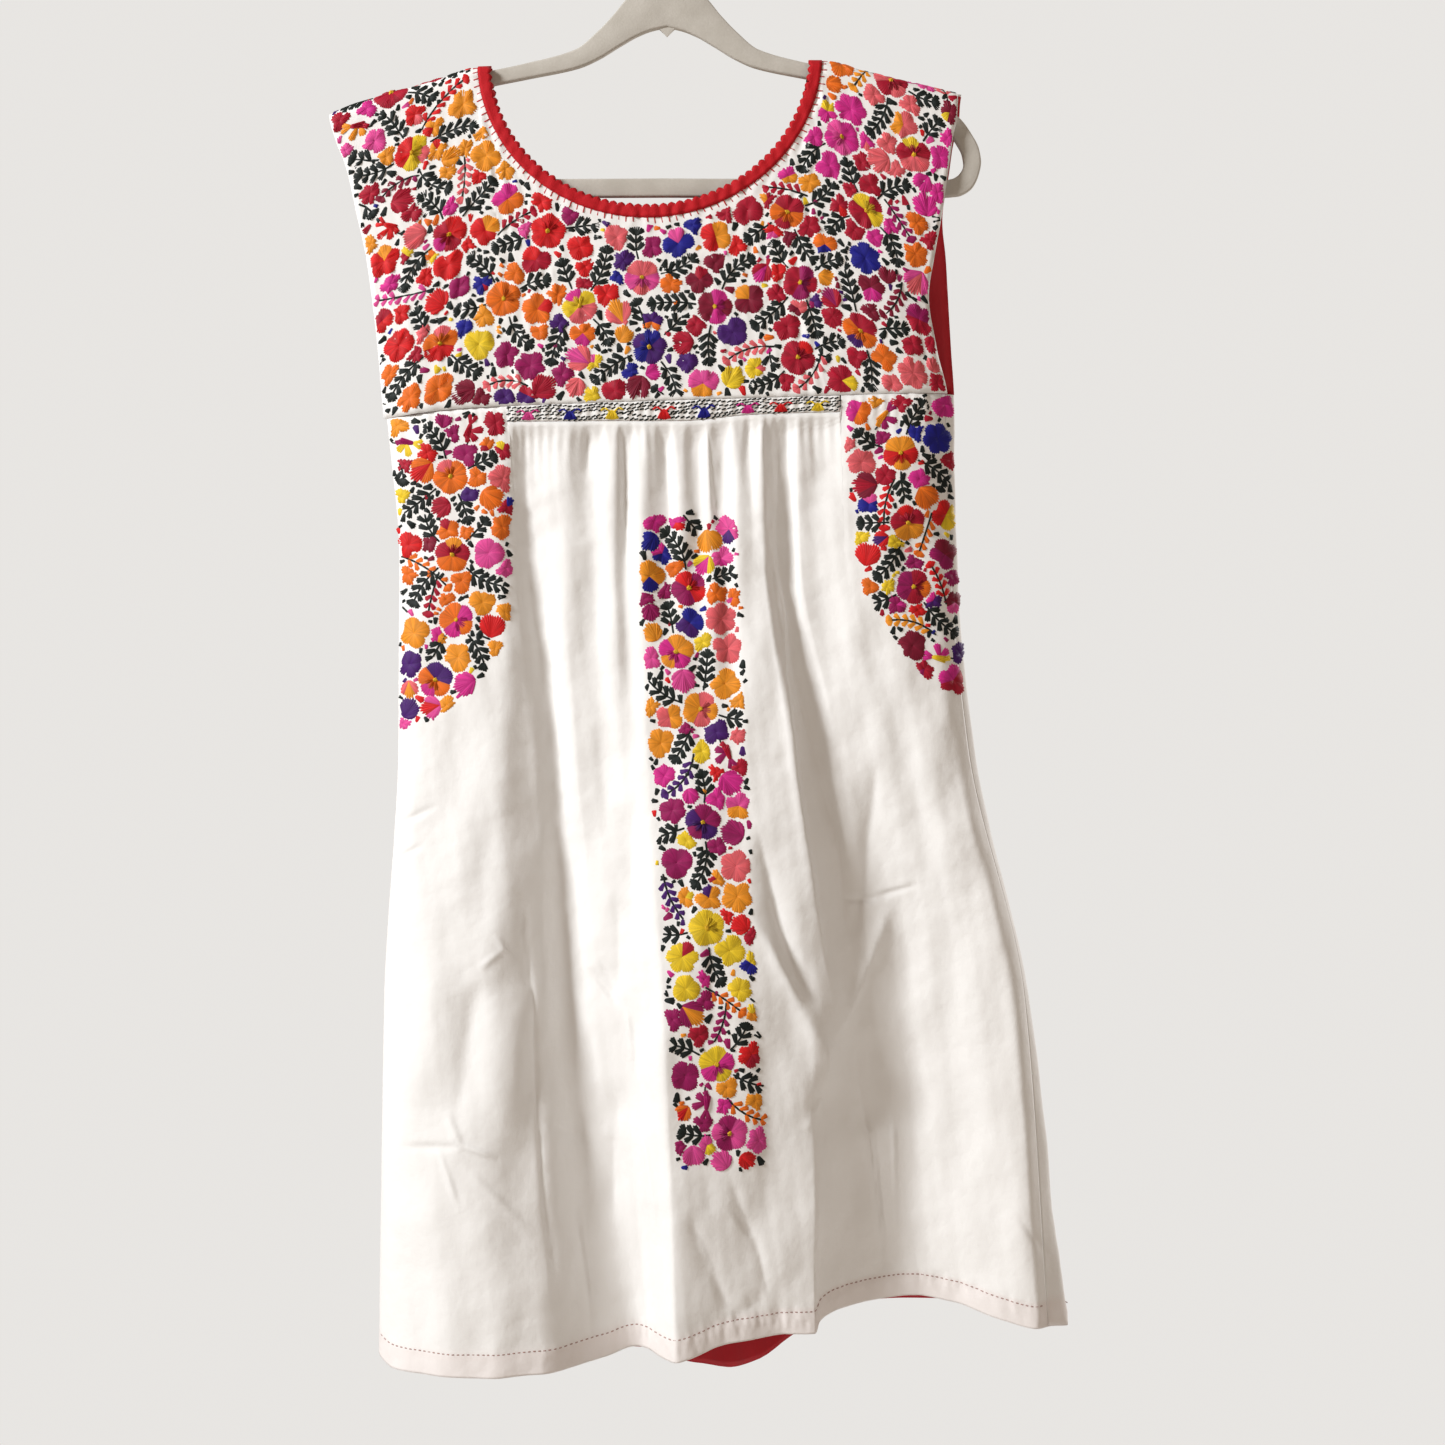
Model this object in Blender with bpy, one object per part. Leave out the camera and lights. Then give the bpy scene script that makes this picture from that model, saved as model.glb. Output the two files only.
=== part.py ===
"""An embroidered shift dress on a clothes hanger: solids in real size, hanging from the top of the hanger's hook.

X is the viewer's right, the front faces -Y, Z is up. The origin is the inner top of the hook.
Tables are in millimetres. A depth is how far a point stands in front of the hanger's middle plane (y = -depth).
"""

import bpy
import numpy as np

MM = 0.001
GAP = 0.3

# Cloth walls
YOKE_WALL = 1.6
SKIRT_WALL = 1.2
HEM_WALL = 2.0
HEM_HEIGHT = 15.0
LINING_WALL = 1.0

# The yoke hangs over the hanger like a roll of this radius, then falls and swells a little towards its lower seam
ROLL = 9.0
YOKE_FALL = 235.0
FRONT_SWELL = 6.0
BACK_SWELL = 1.0
EDGE_REACH = 30.0
EDGE_SHARE = 0.3

# Neck: an ellipse laid on the cloth, across the shoulder ridge. The back's half is a little deeper, so it hides.
NECK_MIDDLE = -12.0
NECK_HALF_WIDTH = 122.0
NECK_RUN = {"front": 117.0, "back": 119.0}

# Heights of the shoulder ridge (between the two neck points it is a line in the air)
RIDGE = np.array([
    # x,     z
    (-239.0, -170.0),
    (-225.0, -164.0),
    (-203.0, -157.5),
    (-161.0, -144.8),
    (-134.0, -137.0),
    (110.0, -132.5),
    (138.0, -139.0),
    (165.0, -146.0),
    (190.0, -151.5),
    (206.0, -155.5),
])

# Armhole edges, from the shoulder down to the yoke's lower seam
ARMHOLES = np.array([
    # z,     left front, left back, right front, right back
    (-150.0, -239.0, -237.0, 206.0, 209.0),
    (-172.0, -237.0, -234.0, 205.0, 208.0),
    (-191.0, -232.0, -229.0, 201.5, 203.5),
    (-209.0, -225.0, -222.0, 199.0, 201.0),
    (-244.0, -217.0, -214.0, 194.0, 196.0),
    (-272.0, -211.0, -208.0, 189.0, 198.5),
    (-300.0, -207.0, -204.0, 185.0, 200.0),
    (-336.0, -203.0, -200.0, 190.5, 202.0),
    (-367.0, -200.5, -197.0, 198.0, 204.0),
    (-390.0, -198.5, -195.0, 201.0, 205.0),
])

# The yoke's lower seam, and the lower edge of the smocked band
SEAM = np.array([
    # x,     z
    (-200.0, -387.0),
    (-138.0, -380.5),
    (-38.0, -376.3),
    (106.0, -372.0),
    (206.0, -368.7),
])
BAND_LOW = np.array([
    # x,     z
    (-112.0, -390.0),
    (-38.0, -389.5),
    (10.0, -389.5),
    (60.0, -385.0),
    (126.0, -383.0),
])
BAND_LEFT = -111.0
BAND_RIGHT = 122.0
PLEATS = 32
PLEAT_RISE = 1.1

# Rows down the yoke, as shares of the way from its upper edge to its lower seam
YOKE_ROWS = (0.0, 0.015, 0.032, 0.055, 0.22, 0.46, 0.73, 1.0)
SHOULDER_COLUMNS = 6
# The columns below the neck begin at this row. The rows above it turn over the shoulders only.
NECK_ROW = 3
NECK_COLUMNS = 30
NECK_FROM = np.radians(11.0)

# The skirt hangs through lines from its top to its hem, each read at five heights: the yoke's seam, three levels and
# the hem. The lines follow the ridges and valleys of its folds, from the left seam round the front to the right seam,
# then back behind.
LEVELS = (-487.0, -621.0, -793.0)
LEVEL_ROWS = (4, 4, 4, 5)
FOLDS = [
    # line, x at the five heights, depth at the five heights, z at the hem, columns to the next line
    ("left_seam", -197, -188, -187, -196, -198, 2, 3, 3, 7, 12, -1035, 1),
    ("left_edge", -198, -189, -189, -197, -199, 5, 8, 13, 24, 34, -1037, 2),
    ("left_face", -189, -179, -177, -184, -186, 9, 15, 25, 43, 58, -1042, 2),
    ("left_mid", -159, -152, -150, -154, -151, 14, 19, 31, 57, 77, -1042, 2),
    ("left_lobe", -126, -119, -115, -121, -115, 14, 20, 33, 58, 84, -1042, 1),
    ("band_left", -115, -108, -97, -93, -87, 14, 16, 26, 46, 77, -1041, 1),
    ("lobe_slope", -111.4, -104, -91, -85, -78, 13, 13, 23, 40, 74, -1041, 2),
    ("valley_left", -101, -96, -78, -67, -41, 8, 8, 13, 22, 46, -1038, 4),
    ("gather_a", -71, -70, -62, -46, -19, 14, 16, 20, 31, 36, -1034, 2),
    ("gather_a_in", -53, -52, -47, -36, -11, 8, 13, 20, 36, 38, -1035, 2),
    ("gather_b", -38, -37, -31, -20, -5, 14, 18, 26, 44, 48, -1036, 2),
    ("gather_b_in", -27, -29, -24, -12, 1, 9, 15, 28, 50, 57, -1037, 2),
    ("ridge_left", -15, -17, -12, 0, 9, 14, 20, 33, 58, 68, -1036, 2),
    ("panel_a", -1, -1, 3, 14, 24, 8, 16, 34, 58, 63, -1032, 2),
    ("panel_b", 9, 11, 15, 24, 36, 13, 19, 35, 58, 59, -1028, 2),
    ("panel_c", 21, 23, 26, 34, 48, 8, 16, 34, 57, 55, -1026, 2),
    ("panel_d", 29, 32, 36, 43, 59, 13, 19, 35, 56, 52, -1025, 2),
    ("panel_e", 38, 41, 47, 53, 70, 8, 16, 34, 55, 49, -1024, 2),
    ("panel_f", 49, 51, 58, 64, 83, 14, 20, 35, 53, 46, -1023, 2),
    ("panel_g", 58, 60, 72, 82, 94, 10, 19, 35, 49, 46, -1023, 2),
    ("ridge_right", 66, 68, 86, 101, 103, 15, 20, 34, 44, 45, -1023, 2),
    ("tuck", 74, 75, 94, 114, 107, 10, 14, 25, 34, 35, -1017, 2),
    ("valley_right", 83, 86, 109, 127, 119, 6, 8, 14, 23, 23, -1012, 2),
    ("gather_c", 92, 95, 122, 144, 143, 12, 13, 16, 15, 12, -1009, 2),
    ("valley_low", 104, 107, 139, 167, 177, 9, 12, 17, 9, 4, -1007, 3),
    ("gather_d", 122.4, 125, 158, 191, 200, 13, 15, 20, 16, 11, -1010, 1),
    ("band_right", 126, 130, 164, 198, 207, 14, 16, 20, 18, 14, -1011, 2),
    ("right_mid", 145, 153, 181, 222, 236, 15, 18, 23, 27, 30, -1018, 3),
    ("right_face", 177, 182, 200, 240, 257, 13, 15, 20, 30, 37, -1022, 2),
    ("right_seam", 197, 201, 213, 251, 266, 4, 6, 11, 21, 31, -1022, 2),
    ("right_edge", 204, 206, 218, 255, 281, -1, 0, 3, 11, 18, -1024, 2),
    ("right_back", 198, 204, 215, 253, 277, -6, -6, -7, -4, 2, -1024, 2),
    ("back_a", 173, 177, 188, 224, 245, -9, -11, -13, -14, -13, -1025, 2),
    ("back_b", 141, 145, 156, 184, 201, -10, -11, -11, -8, -4, -1011, 1),
    ("back_c", 116, 118, 125, 152, 170, -10, -12, -14, -12, -9, -1012, 2),
    ("back_d", 91, 93, 98, 122, 139, -10, -11, -12, -15, -15, -1016, 1),
    ("back_e", 70, 71, 76, 95, 113, -10, -12, -14, -12, -9, -1022, 2),
    ("back_f", 48, 50, 53, 70, 87, -10, -11, -11, -8, 0, -1037, 1),
    ("back_g", 28, 30, 33, 50, 66, -10, -12, -13, -8, 2, -1052, 2),
    ("back_h", 8, 9, 12, 29, 44, -10, -11, -11, -11, -8, -1061, 1),
    ("back_i", -20, -18, -13, 3, 20, -10, -12, -14, -15, -15, -1060, 2),
    ("back_j", -55, -54, -48, -37, -23, -10, -11, -11, -9, -4, -1045, 1),
    ("back_k", -91, -90, -88, -88, -84, -10, -12, -14, -15, -15, -1052, 2),
    ("back_l", -127, -125, -126, -134, -137, -10, -11, -12, -9, -5, -1057, 1),
    ("back_m", -166, -161, -163, -173, -175, -9, -10, -13, -14, -14, -1056, 2),
    ("left_back", -191, -186, -185, -193, -196, -5, -5, -6, -6, -5, -1045, 2),
]

# Crocheted edging, inside the neck's edge
TRIM_WIDTH = 9.0
TRIM_SCALLOP = 2.6
SCALLOPS = 76
SCALLOP_COLUMNS = 3
TRIM_OUT = 0.3
TRIM_IN = 1.3

# Hanger: half of its outer and inner outline, from the crown round the arm to the middle of the lower bar
HANGER_THICK = 6.0
HANGER_ROUND = 1.6
HANGER_COLUMNS = 2
HANGER = np.array([
    # outer x, outer z, inner x, inner z
    (0.0, -73.0, 0.0, -108.0),
    (16.0, -77.0, 11.0, -110.5),
    (29.0, -88.5, 21.0, -114.5),
    (38.0, -99.5, 34.0, -122.0),
    (50.0, -112.0, 48.0, -130.5),
    (65.0, -124.0, 63.0, -137.0),
    (103.0, -134.5, 101.0, -145.0),
    (128.0, -139.9, 125.5, -150.0),
    (150.0, -145.6, 147.0, -156.0),
    (187.0, -158.5, 182.0, -168.8),
    (208.0, -173.0, 199.0, -182.0),
    (216.5, -184.5, 205.5, -191.0),
    (221.5, -194.5, 209.5, -199.0),
    (223.0, -204.0, 210.5, -206.0),
    (221.0, -214.0, 207.5, -212.5),
    (216.0, -223.0, 202.0, -216.0),
    (206.0, -228.0, 196.0, -216.8),
    (180.0, -229.5, 178.0, -216.8),
    (90.0, -229.0, 90.0, -216.0),
    (0.0, -228.6, 0.0, -215.5),
])

# Hook: a wire bent like a question mark
WIRE = 3.5
HOOK_INNER = 18.0
HOOK_FROM = np.radians(-55.0)
HOOK_TO = np.radians(205.0)
HOOK_STEM = np.array([
    # x,   z
    (0.0, -72.6),
    (0.0, -62.0),
    (0.0, -51.0),
    (1.8, -44.3),
    (5.8, -39.2),
])


def clear_scene():
    """Removes what the start-up scene holds."""
    for obj in list(bpy.data.objects):
        bpy.data.objects.remove(obj)


def material(name, colour, roughness, metallic=0.0):
    """A plain finish of one colour."""
    finish = bpy.data.materials.new(name)
    finish.use_nodes = True
    shader = finish.node_tree.nodes["Principled BSDF"]
    shader.inputs["Base Color"].default_value = (*colour, 1.0)
    shader.inputs["Roughness"].default_value = roughness
    shader.inputs["Metallic"].default_value = metallic
    return finish


def smooth_slopes(points, knots):
    """Slopes for a curve through points (along axis 0) that never overshoots: none at a peak, else between its sides."""
    step = np.diff(points, axis=0) / np.diff(knots, axis=0)
    before, after = step[:-1], step[1:]
    total = np.where(before * after > 0, before + after, 1.0)
    middle = np.where(before * after > 0, 2 * before * after / total, 0.0)
    return np.concatenate([step[:1], middle, step[-1:]])


def smooth_between(points, knots, piece, share):
    """The smooth curve through points, at a share (0 to 1) of the way from point number `piece` to the next one."""
    slopes = smooth_slopes(points, knots)
    width = np.diff(knots, axis=0)[piece]
    share = share.reshape(-1, *[1] * (points.ndim - 1))
    start = 2 * share**3 - 3 * share**2 + 1
    lean_start = share**3 - 2 * share**2 + share
    lean_end = share**3 - share**2
    return (
        start * points[piece]
        + (1 - start) * points[piece + 1]
        + width * (lean_start * slopes[piece] + lean_end * slopes[piece + 1])
    )


def smooth_steps(points, knots, counts):
    """The smooth curve through points, in counts[i] steps from point i to the next one, with the last point."""
    piece = np.repeat(np.arange(len(counts)), counts)
    share = np.concatenate([np.arange(count) / count for count in counts])
    return np.concatenate([smooth_between(points, knots, piece, share), points[-1:]])


def smooth_table(at, knots, values):
    """Reads a table's smooth curve at any number of places."""
    rising = knots[-1] > knots[0]
    order = slice(None) if rising else slice(None, None, -1)
    knots, values = knots[order], values[order]
    at = np.clip(at, knots[0], knots[-1])
    piece = np.clip(np.searchsorted(knots, at, side="right") - 1, 0, len(knots) - 2)
    share = (at - knots[piece]) / (knots[piece + 1] - knots[piece])
    flat = smooth_between(values, knots, piece.ravel(), share.ravel())
    return flat.reshape(np.shape(at))


def seam_height(x):
    return smooth_table(x, SEAM[:, 0], SEAM[:, 1])


def skirt_top(x, depth):
    """Height of the skirt's upper edge: under the smocked band in front, else under the yoke."""
    under_band = (x > BAND_LEFT - 0.6) & (x < BAND_RIGHT + 0.6) & (depth > 0)
    return np.where(under_band, smooth_table(x, BAND_LOW[:, 0], BAND_LOW[:, 1]), seam_height(x)) - GAP / 2


def mesh_object(name, points, faces, finish):
    """One closed body of triangles. They are turned round if they would face in."""
    first, second, third = points[faces].transpose(1, 0, 2)
    if (np.cross(first, second) * third).sum() < 0:
        faces = faces[:, ::-1]
    mesh = bpy.data.meshes.new(name)
    mesh.from_pydata((points * MM).tolist(), [], faces.tolist())
    mesh.validate()
    mesh.shade_smooth()
    mesh.set_sharp_from_angle(angle=np.radians(50))
    mesh.materials.append(finish)
    bpy.context.scene.collection.objects.link(bpy.data.objects.new(name, mesh))


def wall_object(name, outer, inner, finish, cells=None, closed=False):
    """A cloth wall between two grids of points, rows down and columns across.

    cells says which cells of the grid are cloth. With closed set, the last column meets the first one, as round a neck.
    Both faces are split along the same diagonals, so the wall is as thick between its points as at them.
    """
    rows, columns = outer.shape[:2]
    number = np.arange(rows * columns).reshape(rows, columns)
    if closed:
        number = np.concatenate([number, number[:, :1]], axis=1)
    above, below = number[:-1], number[1:]
    corners = np.stack([above[:, :-1], below[:, :-1], below[:, 1:], above[:, 1:]], axis=-1)
    corners = corners.reshape(-1, 4) if cells is None else corners[cells]
    face = np.concatenate([corners[:, [0, 1, 2]], corners[:, [0, 2, 3]]])

    # An edge that only one triangle uses is an edge of the cloth, and gets a strip across the wall
    edges = np.concatenate([face[:, [0, 1]], face[:, [1, 2]], face[:, [2, 0]]])
    first, last = edges.min(axis=1), edges.max(axis=1)
    _, where, uses = np.unique(first * number.size + last, return_inverse=True, return_counts=True)
    start, end = edges[uses[where] == 1].T
    behind = rows * columns
    near = np.stack([end, start, start + behind], axis=-1)
    far = np.stack([end, start + behind, end + behind], axis=-1)
    faces = np.concatenate([face, face[:, ::-1] + behind, near, far])
    points = np.concatenate([outer.reshape(-1, 3), inner.reshape(-1, 3)])
    used, faces = np.unique(faces, return_inverse=True)
    mesh_object(name, points[used], faces.reshape(-1, 3), finish)


def yoke_profile(run, swell):
    """How far the cloth has fallen, how far it stands out and its turn (0 up, 90 degrees out), by its run from the ridge."""
    turn = np.clip(run / ROLL, 0, np.pi / 2)
    straight = np.maximum(run - ROLL * np.pi / 2, 0)
    fall = ROLL * (1 - np.cos(turn)) + straight
    out = ROLL * np.sin(turn) + swell * straight / YOKE_FALL
    return fall, out, turn


def yoke_starts(side):
    """Where the yoke's columns begin, as x and run: along one shoulder, round the neck's edge, along the other."""
    edges = ARMHOLES[0, 1:]
    left, right = (edges[0], edges[2]) if side == "front" else (edges[1], edges[3])
    half_width = NECK_HALF_WIDTH + GAP / 2
    depth = NECK_RUN[side] + GAP / 2
    angle = np.linspace(np.pi - NECK_FROM, NECK_FROM, NECK_COLUMNS)
    neck_x = NECK_MIDDLE + half_width * np.cos(angle)
    neck_run = depth * np.sin(angle)
    left_x = np.linspace(left, NECK_MIDDLE - half_width, SHOULDER_COLUMNS + 1)
    right_x = np.linspace(NECK_MIDDLE + half_width, right, SHOULDER_COLUMNS + 1)
    shoulder = np.full(SHOULDER_COLUMNS + 1, GAP / 2)
    return np.concatenate([left_x, neck_x, right_x]), np.concatenate([shoulder, neck_run, shoulder])


def yoke_grid(side):
    """Outer points of the yoke's front or back, and their outward directions."""
    swell = FRONT_SWELL if side == "front" else BACK_SWELL
    forward = -1 if side == "front" else 1
    edges = (1, 3) if side == "front" else (2, 4)

    def edge_x(z):
        return [smooth_table(z, ARMHOLES[:, 0], ARMHOLES[:, i]) for i in edges]

    start_x, start_run = yoke_starts(side)
    ridge = smooth_table(start_x, RIDGE[:, 0], RIDGE[:, 1])
    start_z = ridge - yoke_profile(start_run, swell)[0]
    left, right = edge_x(start_z)
    across = (start_x - left) / (right - left)

    end_z = seam_height(start_x)
    for _ in range(4):
        left, right = edge_x(end_z)
        end_z = seam_height(left + across * (right - left)) + GAP / 2
    end_run = ridge - end_z - ROLL + ROLL * np.pi / 2

    share = np.array(YOKE_ROWS)[:, None]
    below_neck = np.clip((share - share[NECK_ROW]) / (1 - share[NECK_ROW]), 0, 1)
    on_shoulder = start_run < GAP
    run = start_run + np.where(on_shoulder, share, below_neck) * (end_run - start_run)
    fall, out, turn = yoke_profile(run, swell)
    z = ridge - fall
    left, right = edge_x(z)
    x = left + across * (right - left)
    near = np.clip(np.minimum(x - left, right - x) / EDGE_REACH, 0, 1)
    low = np.clip((fall - ROLL) / YOKE_FALL, 0, 1) ** 1.5
    narrow = 1 - (1 - EDGE_SHARE) * low * (1 - np.sin(near * np.pi / 2))
    points = np.stack([x, forward * out * narrow, z], axis=-1)
    outward = np.stack([np.zeros_like(x), forward * np.sin(turn), np.cos(turn)], axis=-1)
    return points, outward


def yoke_cells():
    """Which cells of the yoke's grid are cloth: all but those above the neck's edge."""
    cells = np.ones((len(YOKE_ROWS) - 1, 2 * SHOULDER_COLUMNS + NECK_COLUMNS + 1), bool)
    cells[:NECK_ROW, SHOULDER_COLUMNS : -SHOULDER_COLUMNS] = False
    return cells


def skirt_ring():
    """Outer points of the whole skirt, outward directions, and how many columns its front has."""
    x = np.array([line[1:6] for line in FOLDS], float)
    depth = np.array([line[6:11] for line in FOLDS], float)
    hem = np.array([line[11] for line in FOLDS], float)
    counts = np.array([line[12] for line in FOLDS])
    levels = np.broadcast_to(LEVELS, (len(FOLDS), len(LEVELS)))
    z = np.column_stack([skirt_top(x[:, 0], depth[:, 0]), levels, hem])
    lines = np.stack([x, -depth, z], axis=-1)

    # Round the ring, with its ends repeated so that the curve closes without a kink
    lines = np.concatenate([lines[-2:], lines, lines[:3]])
    step = np.linalg.norm(np.diff(lines[..., :2], axis=0), axis=-1)
    knots = np.concatenate([np.zeros((1, step.shape[1])), step.cumsum(axis=0)])[..., None]
    first, last = 2, 2 + len(counts)
    piece = np.repeat(np.arange(first, last), counts)
    share = np.concatenate([np.arange(count) / count for count in counts])
    ring = smooth_between(lines, knots, piece, share)
    ring[:, 0, 2] = skirt_top(ring[:, 0, 0], -ring[:, 0, 1])

    # Down each column, by height
    down = ring.transpose(1, 0, 2)
    knots = -down[..., 2:]
    grid = smooth_steps(down, knots, LEVEL_ROWS)
    around = np.roll(grid, -1, axis=1) - np.roll(grid, 1, axis=1)
    outward = np.stack([around[..., 1], -around[..., 0], np.zeros(grid.shape[:2])], axis=-1)
    outward /= np.linalg.norm(outward, axis=-1, keepdims=True)
    names = [line[0] for line in FOLDS]
    return grid, outward, counts[: names.index("right_seam")].sum()


def part_at_ends(grid):
    """Draws a grid's first and last columns in by half a gap, away from the piece that they meet."""
    grid = grid.copy()
    for end, beside in ((0, 1), (-1, -2)):
        inwards = grid[:, beside] - grid[:, end]
        grid[:, end] += inwards * (GAP / 2) / np.linalg.norm(inwards, axis=-1, keepdims=True)
    return grid


def hem_wall(grid):
    """Wall thickness by row: the turned-up hem is thicker than the cloth above it."""
    above_hem = grid[..., 2] - grid[-1:, :, 2]
    return np.where(above_hem < HEM_HEIGHT, HEM_WALL, SKIRT_WALL)[..., None]


def make_yoke(side, cloth):
    points, outward = yoke_grid(side)
    wall_object("yoke_" + side, points, points - outward * YOKE_WALL, cloth, yoke_cells())
    return points, outward


def make_lining(name, points, outward, outer_wall, satin, cells=None):
    """A lining just inside a piece of the back, made from that piece's points."""
    outside = points - outward * (outer_wall + GAP)
    wall_object(name, outside, outside - outward * LINING_WALL, satin, cells)


def make_skirt(cloth, satin):
    """Front and back of the skirt, with a lining inside the back."""
    ring, outward, front_columns = skirt_ring()
    # The rows just above the hem are moved to the hem's upper edge, where the wall thickens
    ring[-2] = ring[-1] + (ring[-2] - ring[-1]) * HEM_HEIGHT / (ring[-2] - ring[-1])[..., 2:]
    closed_ring = np.concatenate([ring, ring[:, :1]], axis=1)
    closed_out = np.concatenate([outward, outward[:, :1]], axis=1)
    sides = {"skirt_front": slice(0, front_columns + 1), "skirt_back": slice(front_columns, None)}
    for name, columns in sides.items():
        points, direction = closed_ring[:, columns], closed_out[:, columns]
        wall = hem_wall(points - [0, 0, 1e-3])
        wall_object(name, part_at_ends(points), part_at_ends(points - direction * wall), cloth)
    back, direction = closed_ring[:, sides["skirt_back"]], closed_out[:, sides["skirt_back"]]
    make_lining("lining_skirt", part_at_ends(back), direction, HEM_WALL, satin)


def make_band(cloth):
    """The smocked band: pleats raised on its face, plain behind."""
    columns = PLEATS * 4 + 1
    x = np.linspace(BAND_LEFT, BAND_RIGHT, columns)
    top = seam_height(x) - GAP / 2
    low = smooth_table(x, BAND_LOW[:, 0], BAND_LOW[:, 1]) + GAP / 2
    share = np.array([0.0, 0.5, 1.0])[:, None]
    z = top + share * (low - top)
    base = ROLL + FRONT_SWELL * 0.95
    pleat = np.sin(np.linspace(0, PLEATS * np.pi, columns)) ** 2
    rise = PLEAT_RISE * pleat * np.array([0.6, 1.0, 0.8])[:, None]
    flat = np.full_like(z, -base)
    outer = np.stack([np.broadcast_to(x, z.shape), flat - rise, z], axis=-1)
    inner = np.stack([np.broadcast_to(x, z.shape), flat + SKIRT_WALL, z], axis=-1)
    wall_object("smock_band", outer, inner, cloth)


def neck_loop(inward):
    """Points on the cloth round the neck, moved `inward` from its edge, evenly spaced, with outward directions.

    They start at the left neck point and run down the front, up to the right neck point and round the back.
    """
    fine = np.linspace(0, 2 * np.pi, 2001)
    wide = NECK_HALF_WIDTH - GAP / 2
    deep = np.where(fine < np.pi, NECK_RUN["front"], NECK_RUN["back"]) - GAP / 2
    edge = np.stack([-wide * np.cos(fine), deep * np.sin(fine)], axis=-1)
    length = np.concatenate([[0], np.linalg.norm(np.diff(edge, axis=0), axis=-1).cumsum()])
    even = np.linspace(0, length[-1], len(inward), endpoint=False)
    angle = np.interp(even, length, fine)
    deep = np.where(angle < np.pi, NECK_RUN["front"], NECK_RUN["back"]) - GAP / 2
    away = np.stack([-np.cos(angle) / wide, np.sin(angle) / deep], axis=-1)
    away /= np.linalg.norm(away, axis=-1, keepdims=True)
    flat = np.stack([-wide * np.cos(angle), deep * np.sin(angle)], axis=-1) - away * inward[:, None]
    x, run = NECK_MIDDLE + flat[:, 0], flat[:, 1]
    swell = np.where(run > 0, FRONT_SWELL, BACK_SWELL)
    fall, out, turn = yoke_profile(np.abs(run), swell)
    forward = -np.sign(run)
    ridge = smooth_table(x, RIDGE[:, 0], RIDGE[:, 1])
    points = np.stack([x, forward * out, ridge - fall], axis=-1)
    outward = np.stack([np.zeros_like(x), forward * np.sin(turn), np.cos(turn)], axis=-1)
    return points, outward


def make_trim(yarn):
    """A crocheted edging round the neck, with a scalloped inner edge."""
    phase = np.arange(SCALLOPS * SCALLOP_COLUMNS) / SCALLOP_COLUMNS
    tip = TRIM_WIDTH - TRIM_SCALLOP * (1 - np.abs(np.sin(np.pi * phase)))
    rows = [neck_loop(np.zeros_like(tip)), neck_loop(tip)]
    points = np.stack([row[0] for row in rows])
    outward = np.stack([row[1] for row in rows])
    wall_object("neck_trim", points + outward * TRIM_OUT, points - outward * TRIM_IN, yarn, closed=True)


def make_hanger(plastic):
    """The hanger's frame: a flat band round a closed outline, its edges rounded off."""
    count = np.full(len(HANGER) - 1, HANGER_COLUMNS)
    knots = np.concatenate([[0], np.linalg.norm(np.diff(HANGER[:, :2], axis=0), axis=-1).cumsum()])[:, None]
    half = smooth_steps(HANGER, knots, count)
    mirrored = half[-2:0:-1] * [-1, 1, -1, 1]
    loop = np.concatenate([half, mirrored])
    outer, inner = loop[:, :2], loop[:, 2:]
    across = inner - outer
    across = across / np.linalg.norm(across, axis=-1, keepdims=True) * HANGER_ROUND
    face = HANGER_THICK / 2
    ring = [
        # outline,         y
        (outer, -face + HANGER_ROUND),
        (outer + across, -face),
        (inner - across, -face),
        (inner, -face + HANGER_ROUND),
        (inner, face - HANGER_ROUND),
        (inner - across, face),
        (outer + across, face),
        (outer, face - HANGER_ROUND),
    ]
    points = np.stack([np.column_stack([line[:, 0], np.full(len(line), y), line[:, 1]]) for line, y in ring])
    here = np.arange(len(ring) * len(loop)).reshape(len(ring), len(loop))
    along, down = np.roll(here, -1, axis=1), np.roll(here, -1, axis=0)
    opposite = np.roll(down, -1, axis=1)
    faces = np.concatenate([np.stack(half, axis=-1) for half in ((here, along, opposite), (here, opposite, down))])
    mesh_object("hanger_frame", points.reshape(-1, 3), faces.reshape(-1, 3), plastic)


def make_hook(metal):
    """The hook: a bent wire whose inner top is the origin."""
    radius = HOOK_INNER + WIRE / 2
    angle = np.linspace(HOOK_FROM, HOOK_TO, 22)
    arc = np.column_stack([radius * np.cos(angle), radius * np.sin(angle) - HOOK_INNER])
    path = np.concatenate([HOOK_STEM, arc])
    curve = bpy.data.curves.new("hanger_hook", "CURVE")
    curve.dimensions = "3D"
    curve.bevel_depth = WIRE / 2 * MM
    curve.bevel_resolution = 2
    curve.use_fill_caps = True
    spline = curve.splines.new("POLY")
    spline.points.add(len(path) - 1)
    for point, (x, z) in zip(spline.points, path):
        point.co = (x * MM, 0, z * MM, 1)
    curve.materials.append(metal)
    bpy.context.scene.collection.objects.link(bpy.data.objects.new("hanger_hook", curve))


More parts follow.
